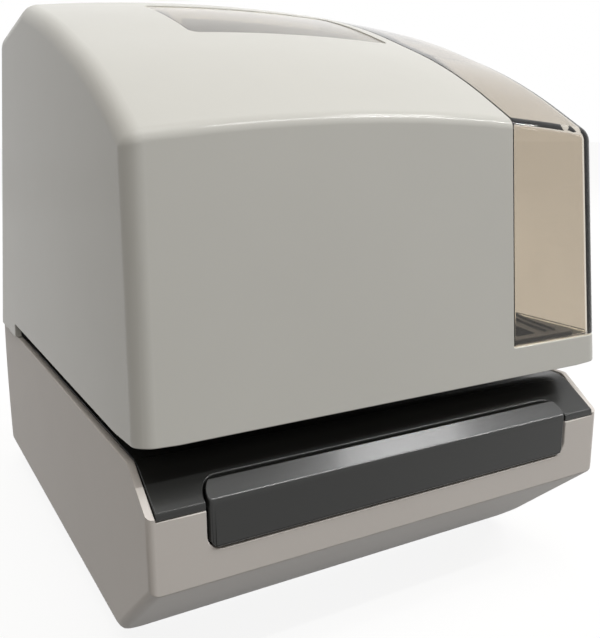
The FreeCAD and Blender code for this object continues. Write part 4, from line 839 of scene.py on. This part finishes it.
def makeModule():
    width, length, height = display["size"]
    half, reach = width / 2, length / 2
    wide, long, deep = (value / 2 for value in display["glass"])
    room, lip = values(display, "room lip")
    more, ringRound, under, above = display["ring"]
    bezel = prism(around(0, 0, half, reach, display["round"]), "z", -height, 0)
    cut(bezel, block(-wide - room, wide + room, -long - room, long + room, -2 * deep, 1))
    ring = prism(around(0, 0, wide + lip + more, long + lip + more, ringRound), "z", under, above)
    cut(ring, block(-wide - room, wide + room, -long - room, long + room, -1, 1))
    unite(bezel, ring)
    parts = [bezel]
    tabLong, tabWide, tabHigh = (value / 2 for value in display["tab"])
    for x in display["tabPlaces"]:
        for y in (-(reach - 2 * tabWide), reach - 2 * tabWide):
            parts.append(block(x - tabLong, x + tabLong, y - tabWide, y + tabWide,
                               -display["tabSunk"], tabHigh))
    first, y = -(display["pins"] - 1) / 2 * display["pinPitch"], display["pinRow"]
    for k in range(display["pins"]):
        x = first + k * display["pinPitch"]
        for side, high in values(display, "pin collar"):
            parts.append(block(x - side / 2, x + side / 2, y - side / 2, y + side / 2,
                               -height, -height + high))
    return tiltedUp(softenEdges(gather(parts), display["edge"]))


def makeGlass():
    wide, long, deep = display["glass"]
    outline = around(0, 0, wide / 2, long / 2, display["glassRound"])
    return tiltedUp(softenEdges(prism(outline, "z", -deep, -display["room"]), display["glassEdge"]))


dress(makeModule(), "display_module", "base", "lcd_module")
dress(makeGlass(), "display_glass", "base", "lcd_glass")


# ---- Ribbon cassette and its knob ----

cassette = {
    "front": -88.0, "left": -58.0, "right": 68.0, "podLeft": 36.5, "podRear": -56.0, "armRear": -76.0,
    "armRight": -46.0, "armEnd": -58.0, "low": 70.0, "top": 77.8, "corner": 4.0, "small": 1.5,
    "shelf": [(53.5, -84.5), (54.5, -80.2), (55.2, -76.0), (56.6, -70.5), (58.2, -65.5), (60.5, -60.0)],
    "shelfEnd": (40.0, -60.0, -84.5, 2.0), "shelfDepth": 3.0, "steps": 24,
    "ribs": (4.2, 4.2 + 3.4), "rib": (0.9, 0.6),
    "label": (-30.0, 20.0, -85.0, -79.0, 1.0), "labelDepth": 0.3,
    "snaps": (-50, -20, 10, 33), "snap": (2.5, 0.6, 2, 5.5),
    "knob": (46.0, -68.0), "collar": [(6.6, -1), (6.6, 0.5), (6.3, 0.8)], "well": 6.0, "bore": 2.6,
    "edge": (0.35, 3),
}


def sweptLine(shift):
    # even points along the swept edge of the shelf, moved sideways
    spots = [Vector(p) for p in cassette["shelf"]]
    points = []
    for k in range(cassette["steps"] + 1):
        t = k / cassette["steps"] * (len(spots) - 1)
        i = min(int(t), len(spots) - 2)
        before, a, b, after = (spots[min(max(j, 0), len(spots) - 1)] for j in range(i - 1, i + 3))
        u = t - i
        smooth = 0.5 * (2 * a + (b - before) * u + (2 * before - 5 * a + 4 * b - after) * u * u
                        + (3 * a - before - 3 * b + after) * u * u * u)
        points.append((smooth.x + shift, smooth.y, 0))
    return points


def makeCassette():
    left, right, front, low, top, radius, small = values(cassette, "left right front low top corner small")
    podLeft, podRear, armRear, armRight, armEnd = values(cassette, "podLeft podRear armRear armRight armEnd")
    body = prism([
        (left, front, radius), (right, front, radius), (right, podRear, radius), (podLeft, podRear, radius),
        (podLeft, armRear, small), (armRight, armRear, small), (armRight, armEnd, small),
        (left, armEnd, small),
    ], "z", low, top)
    floor = top - cassette["shelfDepth"]
    x, rear, ahead, radius = cassette["shelfEnd"]
    cut(body, prism(sweptLine(0) + [(x, rear, radius), (x, ahead, radius)], "z", floor, far))
    wide, high = cassette["rib"]
    for shift in cassette["ribs"]:
        line = sweptLine(shift)
        back = [(x + wide, y, 0) for x, y, _ in reversed(line)]
        unite(body, prism(line + back, "z", top - 1, top + high))
    cut(body, prism(rectangle(*cassette["label"]), "z", top - cassette["labelDepth"], far))
    half, deep, z0, z1 = cassette["snap"]
    cut(body, *(block(x - half, x + half, front - 1, front + deep, low + z0, low + z1)
                for x in cassette["snaps"]))
    x, y = cassette["knob"]
    unite(body, turned("z", x, y, [(radius, floor + z) for radius, z in cassette["collar"]]))
    cut(body, rod("z", x, y, floor - 1, far, cassette["well"]),
        rod("z", x, y, low + 1, far, cassette["bore"]))
    return softenEdges(body, *cassette["edge"])


knob = {
    "ribs": 12, "radius": 5.5, "depth": 0.8, "ribRound": 0.35, "low": 75.1, "high": 77.5,
    "spindle": (2.0, 71.3), "dish": [(2.6, -0.5), (3.2, 0.1)], "mark": (0.5, 2.4, 4.3, 0.4),
    "edge": 0.18,
}


def makeKnob():
    x, y = cassette["knob"]
    low, high = values(knob, "low high")
    outline = []
    for k in range(2 * knob["ribs"]):
        angle = math.pi * (k + 0.5) / knob["ribs"]
        radius = knob["radius"] - knob["depth"] * (k % 2)
        outline.append((x + radius * math.cos(angle), y + radius * math.sin(angle), knob["ribRound"]))
    body = prism(outline, "z", low, high)
    half, start, stop, deep = knob["mark"]
    cut(body, turned("z", x, y, [(radius, high + z) for radius, z in knob["dish"]]),
        block(x - half, x + half, y + start, y + stop, high - deep, far))
    radius, end = knob["spindle"]
    unite(body, rod("z", x, y, end, low + 1, radius))
    return softenEdges(body, knob["edge"])


dress(makeCassette(), "ribbon_cassette", "base", "ribbon_cassette")
dress(makeKnob(), "ribbon_knob", "ribbon_knob", "ribbon_knob")
print("display and ribbon made")


# ---- Feet, screws and base plate ----

underside = {
    "feet": [(x, y) for x in (-50.0, 50.0) for y in (-46.0, 80.0)],
    "foot": [(5.7, 0.0), (6.3, 0.4), (6.5, 1.0), (6.5, 2.3), (6.1, 2.6)],
    "dimple": [(3.4, -1), (3.4, 0.4), (2.9, 0.7)],
    "screws": [(x, y) for x in (-36.0, 36.0) for y in (-46.0, 80.0)],
    "hexagon": [(2.3, 1.0), (2.78, 1.35), (2.78, 2.6)], "shank": [(1.5, 2.0), (1.5, 7.3), (1.0, 7.8)],
    "cross": (1.5, 0.35, 1.9),
    "plate": (-62.4, 62.4, -55.6, 91.5, 4.0), "plateLow": 2.6, "plateTop": 3.8,
    "ribs": (-24, -12, 0, 12, 24), "rib": (1.6, 52.0, 0.98, 0.5, 0.3), "holes": 1.7,
    "footEdge": 0.15, "screwEdge": 0.06, "plateEdge": 0.25,
}


def makeFeet():
    feet = []
    for x, y in underside["feet"]:
        foot = turned("z", x, y, underside["foot"])
        cut(foot, turned("z", x, y, underside["dimple"]))
        feet.append(foot)
    return softenEdges(gather(feet), underside["footEdge"])


def makeScrews():
    screws = []
    reach, half, deep = underside["cross"]
    for x, y in underside["screws"]:
        screw = turned("z", x, y, underside["hexagon"], 6)
        unite(screw, turned("z", x, y, underside["shank"], 28))
        for wide, long in ((reach, half), (half, reach)):
            cut(screw, block(x - wide, x + wide, y - long, y + long, 0, deep))
        screws.append(screw)
    return softenEdges(gather(screws), underside["screwEdge"])


def makePlate():
    x0, x1, y0, y1, radius = underside["plate"]
    low, top = values(underside, "plateLow plateTop")
    plate = prism(rectangle(x0, x1, y0, y1, radius), "z", low, top)
    wide, long, end, high, sunk = underside["rib"]
    unite(plate, *(prism(around(x, (y0 + y1) / 2, wide, long, wide * end), "z", low - high, low + sunk)
                   for x in underside["ribs"]))
    cut(plate, *(rod("z", x, y, 0, far, underside["holes"], 32) for x, y in underside["screws"]))
    return softenEdges(plate, underside["plateEdge"])


dress(makeFeet(), "rubber_feet", "base", "rubber_feet")
dress(makeScrews(), "base_screws", "base", "base_screws")
dress(makePlate(), "base_plate", "base", "base_plate")
print("underside made")


# ---- Lock, hinge pins and power socket ----

lock = {
    "place": (38.0, 95.0), "inner": 61.5, "face": 72.5, "radius": 5.0, "rim": 0.45,
    "plug": [(3.65, 0.0), (3.4, -0.35), (3.2, -0.35), (3.0, -0.1), (0.8, -0.05)],
    "slot": (0.55, 2.6, 1.5), "wards": (0.9, 1.1, 2.1), "edge": 0.08, "pinEdge": 0.1,
}


def makeBarrel():
    y, z = lock["place"]
    face, radius, rim, inner = values(lock, "face radius rim inner")
    body = [(radius - rim, inner), (radius, inner + rim), (radius, face - rim), (radius - rim, face)]
    barrel = turned("x", y, z, body + [(r, face + x) for r, x in lock["plug"]])
    half, reach, deep = lock["slot"]
    wide, z0, z1 = lock["wards"]
    cut(barrel, block(face - deep, face + 1, y - half, y + half, z - reach, z + reach),
        block(face - deep, face + 1, y - wide, y + wide, z + z0, z + z1))
    return softenEdges(barrel, lock["edge"])


def makePins():
    half, radius = values(hinge, "half pin")
    share, slope = hinge["pinEnd"]
    return softenEdges(gather([turned("x", *hinge["axis"], [
        (radius * share, x - half), (radius, x - half + slope), (radius, x + half - slope),
        (radius * share, x + half)], 28) for x in hinge["places"]]), lock["pinEdge"])


socket = {
    "place": (-45.0, 16.0), "half": 5.5, "round": 0.8, "flange": 7.0, "flangeRound": 1.5,
    "front": 82.7, "wall": 94.7, "mouth": 95.3, "ring": [(3.8, -0.3), (4.3, 0.5)],
    "bore": [(2.85, -9.0), (2.85, -0.5), (3.65, 0.3)],
    "pin": [(1.0, -10.0), (1.0, -1.6), (0.6, -1.1), (0.1, -1.0)], "edge": 0.12,
}


def makeSocket():
    x, z = socket["place"]
    half, flange, mouth = values(socket, "half flange mouth")
    body = prism(around(x, z, half, half, socket["round"]), "y", socket["front"], mouth)
    unite(body, prism(around(x, z, flange, flange, socket["flangeRound"]), "y", socket["wall"], mouth))
    ring, bore, pin = ([(radius, mouth + y) for radius, y in form]
                       for form in values(socket, "ring bore pin"))
    cut(body, turned("y", x, z, ring), turned("y", x, z, bore))
    return softenEdges(gather([body, turned("y", x, z, pin, 24)]), socket["edge"])


dress(makeBarrel(), "lock_barrel", "cover", "lock_barrel")
dress(makePins(), "hinge_pins", "base", "hinge_pins")
dress(makeSocket(), "power_socket", "base", "power_socket")
print("lock, pins and socket made")


# ---- Print head, motor and keys ----

def eightSided(x, y, half, reach, corner, radius):
    inner, short = half - corner, reach - corner
    spots = [(-half, -short), (-inner, -reach), (inner, -reach), (half, -short), (half, short),
             (inner, reach), (-inner, reach), (-half, short)]
    return [(x + a, y + b, radius) for a, b in spots]


def groove(body, outline, deep, z, gap, low, top):
    # a groove all round the outline of a body that reaches from low to top
    ring = slab(z, z + gap)
    cut(ring, prism(insetOutline(outline, deep), "z", low - 1, top + 1))
    cut(body, ring)


def screwIn(body, x, y, hole, deep, top, screw):
    # a sunk screw: its hole, and its shank and head
    cut(body, turned("z", x, y, [(hole, top - deep), (hole, far)], screw["steps"]))
    radius = hole - screw["gap"]
    unite(body, turned("z", x, y, [(radius, top - deep - 1), (radius, top - screw["edge"]),
                                   (radius - screw["gap"], top - screw["rise"])], screw["steps"]))


head = {
    "place": (-5.0, -62.0), "half": 11.0, "reach": 10.0, "corner": 3.0, "round": 0.8,
    "low": 80.0, "top": 100.0, "fins": 5, "finDepth": 1.5, "finGap": 1.6, "plate": (2.0, 0.35),
    "nose": (5.0, 2.5, 71.2), "neck": 74.0, "sunk": 0.4, "lug": (9.0, -50.5, 83.0, 97.0),
    "screws": 6.4, "screw": (1.9, 0.8, 0.3), "slotFloor": 0.2, "edge": 0.2,
    "screwFit": {"gap": 0.25, "edge": 0.25, "rise": 0.05, "steps": 28},
}


def makeHead():
    x, y = head["place"]
    half, reach, corner, low, top = values(head, "half reach corner low top")
    outline = eightSided(x, y, half, reach, corner, head["round"])
    body = prism(outline, "z", low, top)
    pitch = (top - low) / (head["fins"] + 1)
    for k in range(head["fins"]):
        z = low + (k + 1) * pitch - head["finGap"] / 2
        groove(body, outline, head["finDepth"], z, head["finGap"], low, top)
    inset, step = head["plate"]
    floor = top - step
    cut(body, prism(insetOutline(outline, inset), "z", floor, far))
    radius, deep, slit = head["screw"]
    for spot in (x - head["screws"], x + head["screws"]):
        screwIn(body, spot, y, radius, deep, floor, head["screwFit"])
        cut(body, block(spot - radius, spot + radius, y - slit, y + slit,
                        floor - deep + head["slotFloor"], far))
    wide, long, tip = head["nose"]
    unite(body, skin([[(x - w, y - l, z), (x + w, y - l, z), (x + w, y + l, z), (x - w, y + l, z)]
                      for w, l, z in ((wide, long, head["neck"]),
                                      (half - corner, reach - corner, low + head["sunk"]))]))
    unite(body, block(x - wide, x + wide, y - long, y + long, tip, head["neck"] + head["sunk"]))
    wide, rear, z0, z1 = head["lug"]
    unite(body, block(x - wide, x + wide, y + reach - head["finDepth"], rear, z0, z1))
    return softenEdges(body, head["edge"])


motor = {
    "place": (-38.0, 4.0), "half": 17.5, "corner": 5.0, "round": 1.0, "low": 70.0, "top": 85.5,
    "boss": [(4.0, 84.5), (4.0, 86.4), (3.7, 86.7)], "bore": (1.55, 72.0),
    "sheets": 8, "firstSheet": 73.6, "sheetPitch": 1.0, "sheetGap": 0.3, "sheetDepth": 0.4,
    "screwAt": 13.0, "screw": (2.6, 1.2, 1.5), "slotFloor": 0.2, "edge": 0.15,
    "screwFit": {"gap": 0.3, "edge": 0.4, "rise": 0.15, "steps": 32},
}


def makeMotor():
    x, y = motor["place"]
    half, low, top, spread = values(motor, "half low top screwAt")
    outline = eightSided(x, y, half, half, motor["corner"], motor["round"])
    body = prism(outline, "z", low, top)
    for k in range(motor["sheets"]):
        z = motor["firstSheet"] + k * motor["sheetPitch"]
        groove(body, outline, motor["sheetDepth"], z, motor["sheetGap"], low, top)
    unite(body, turned("z", x, y, motor["boss"]))
    radius, floor = motor["bore"]
    cut(body, rod("z", x, y, floor, far, radius, 32))
    radius, deep, hexagon = motor["screw"]
    for spot in [(x + across, y + along) for across in (-spread, spread) for along in (-spread, spread)]:
        screwIn(body, *spot, radius, deep, top, motor["screwFit"])
        cut(body, rod("z", *spot, top - deep + motor["slotFloor"], far, hexagon, 6))
    return softenEdges(body, motor["edge"])


key = {
    "x": -47.5, "pitch": 13.0, "half": 3.4, "round": 0.9, "stem": 1.5, "low": -2.2, "top": -0.6,
    "foot": -4.4, "sunk": 0.3, "edge": (0.25, 3), "dish": (9.0, 0.4), "dishSteps": range(2, 29, 3),
}


def makeKey(index):
    x, half, low, top, stem = values(key, "x half low top stem")
    y = (index - 2) * key["pitch"]
    cap = prism(around(x, y, half, half, key["round"]), "z", low, top)
    radius, deep = key["dish"]
    rise = top - deep + radius
    cut(cap, turned("z", x, y, [(radius * math.sin(t), rise - radius * math.cos(t))
                                for t in (math.radians(step) for step in key["dishSteps"])], 36))
    unite(cap, block(x - stem, x + stem, y - stem, y + stem, key["foot"], low + key["sunk"]))
    return tiltedUp(softenEdges(cap, *key["edge"]))


dress(makeHead(), "print_head", "carriage", "print_head")
dress(makeMotor(), "motor_body", "base", "carriage_motor")
for index in (1, 2, 3):
    node = "set_key_" + str(index)
    dress(makeKey(index), "set_key", node, node)
print("print head, motor and keys made")


# ---- Camera, floor and light ----

view = {
    "place": (-0.1209, -0.2526, 0.1358), "yaw": -29.28, "down": 12.92, "roll": -0.353, "lens": 44.436,
    "shift": (-0.0034, -0.0004), "sensor": 36.0, "near": 0.01,
}


def placed(piece, place, across, upward, back):
    piece.matrix_world = Matrix.Translation(place) @ Matrix((across, upward, back)).transposed().to_4x4()
    return piece


def placeCamera():
    yaw, down, roll = (math.radians(angle) for angle in values(view, "yaw down roll"))
    onward = Vector((-math.sin(yaw) * math.cos(down), math.cos(yaw) * math.cos(down), -math.sin(down)))
    right = Vector((math.cos(yaw), math.sin(yaw), 0))
    up = right.cross(onward)
    data = bpy.data.cameras.new("camera")
    data.sensor_width, data.lens, data.clip_start = view["sensor"], view["lens"], view["near"]
    data.shift_x, data.shift_y = view["shift"]
    across = right * math.cos(roll) + up * math.sin(roll)
    upward = up * math.cos(roll) - right * math.sin(roll)
    scene.camera = placed(newPiece("camera", data), view["place"], across, upward, -onward)


stage = {
    "reach": 15000.0, "thick": 20, "color": (0.13, 0.13, 0.127), "rough": 0.9, "lift": 0.89,
    "ambient": (0.205, 0.184, 0.164), "white": (1, 1, 1, 1),
}


def seenFactor(tree):
    # one where the background is looked at, straight, in a reflection or through a clear piece
    path = add(tree, "LightPath").outputs
    some = math2(tree, "ADD", path["Is Camera Ray"], path["Is Glossy Ray"])
    return math2(tree, "ADD", some, path["Is Transmission Ray"], True)


def makeFloor():
    reach = stage["reach"]
    floor = prism(rectangle(-reach, reach, -reach, reach), "z", -stage["thick"], 0)
    floor.name = "floor"
    material, tree, shader, out = newMaterial()
    material.name = "pale_floor"
    feed(tree, shader, {"Base Color": (*stage["color"], 1), "Roughness": stage["rough"],
                        "Specular IOR Level": 0.0})
    strength = times(tree, seenFactor(tree), stage["lift"])
    glow = add(tree, "Emission", {"Color": stage["white"], "Strength": strength})
    both = add(tree, "AddShader", {0: shader.outputs[0], 1: glow.outputs[0]})
    feed(tree, out, {"Surface": both.outputs[0]})
    floor.data.materials.append(material)


def makeWorld():
    world = bpy.data.worlds.new("studio")
    scene.world = world
    world.use_nodes = True
    tree = world.node_tree
    tree.nodes.clear()
    seen = add(tree, "Background", {"Color": stage["white"], "Strength": 1.0})
    faint = add(tree, "Background", {"Color": (*stage["ambient"], 1), "Strength": 1.0})
    both = add(tree, "MixShader", {0: seenFactor(tree), 1: faint.outputs[0], 2: seen.outputs[0]})
    add(tree, "OutputWorld", {"Surface": both.outputs[0]})


sky = {"from": (-0.10, -0.25, 1.0), "strength": 1.08, "spread": 45.0, "color": (1, 0.99, 0.96)}
lamps = {                # each lamp's place, the way of its long side, its size and its power
    "long": ((0.79, -0.68, 1.162), (0.80, 0.27, -0.47), (0.85, 0.032), 8.0),
    "front": ((-0.75, -1.3, 0.55), (1.0, -0.5, 0.0), (0.8, 0.8), 0.9),
    "small": ((0.82, -0.426, 1.246), (0.81, 0.16, -0.56), (0.26, 0.10), 2.4),
    "back": ((0.15, 1.45, 0.85), (1.0, 0.0, 0.0), (1.2, 0.8), 9.0),
}
lampAim = Vector((0, -0.085, 0.1))


def makeLamps():
    for name, (place, along, size, power) in lamps.items():
        data = bpy.data.lights.new(name, "AREA")
        data.shape, data.energy = "RECTANGLE", power
        data.size, data.size_y = size
        back = (Vector(place) - lampAim).normalized()
        upright = back.cross(Vector(along)).normalized()
        lamp = placed(newPiece(name, data), place, upright.cross(back), upright, back)
        # the lamp at the back lights the rear and isn't mirrored in the top
        lamp.visible_glossy = lamp.visible_transmission = name != "back"
    data = bpy.data.lights.new("sky", "SUN")
    data.energy, data.angle, data.color = sky["strength"], math.radians(sky["spread"]), sky["color"]
    newPiece("sky", data).rotation_euler = (-Vector(sky["from"])).to_track_quat("-Z", "Y").to_euler()


placeCamera()
makeFloor()
makeWorld()
makeLamps()
scene.view_settings.view_transform = "Standard"
print("camera, floor and light set")
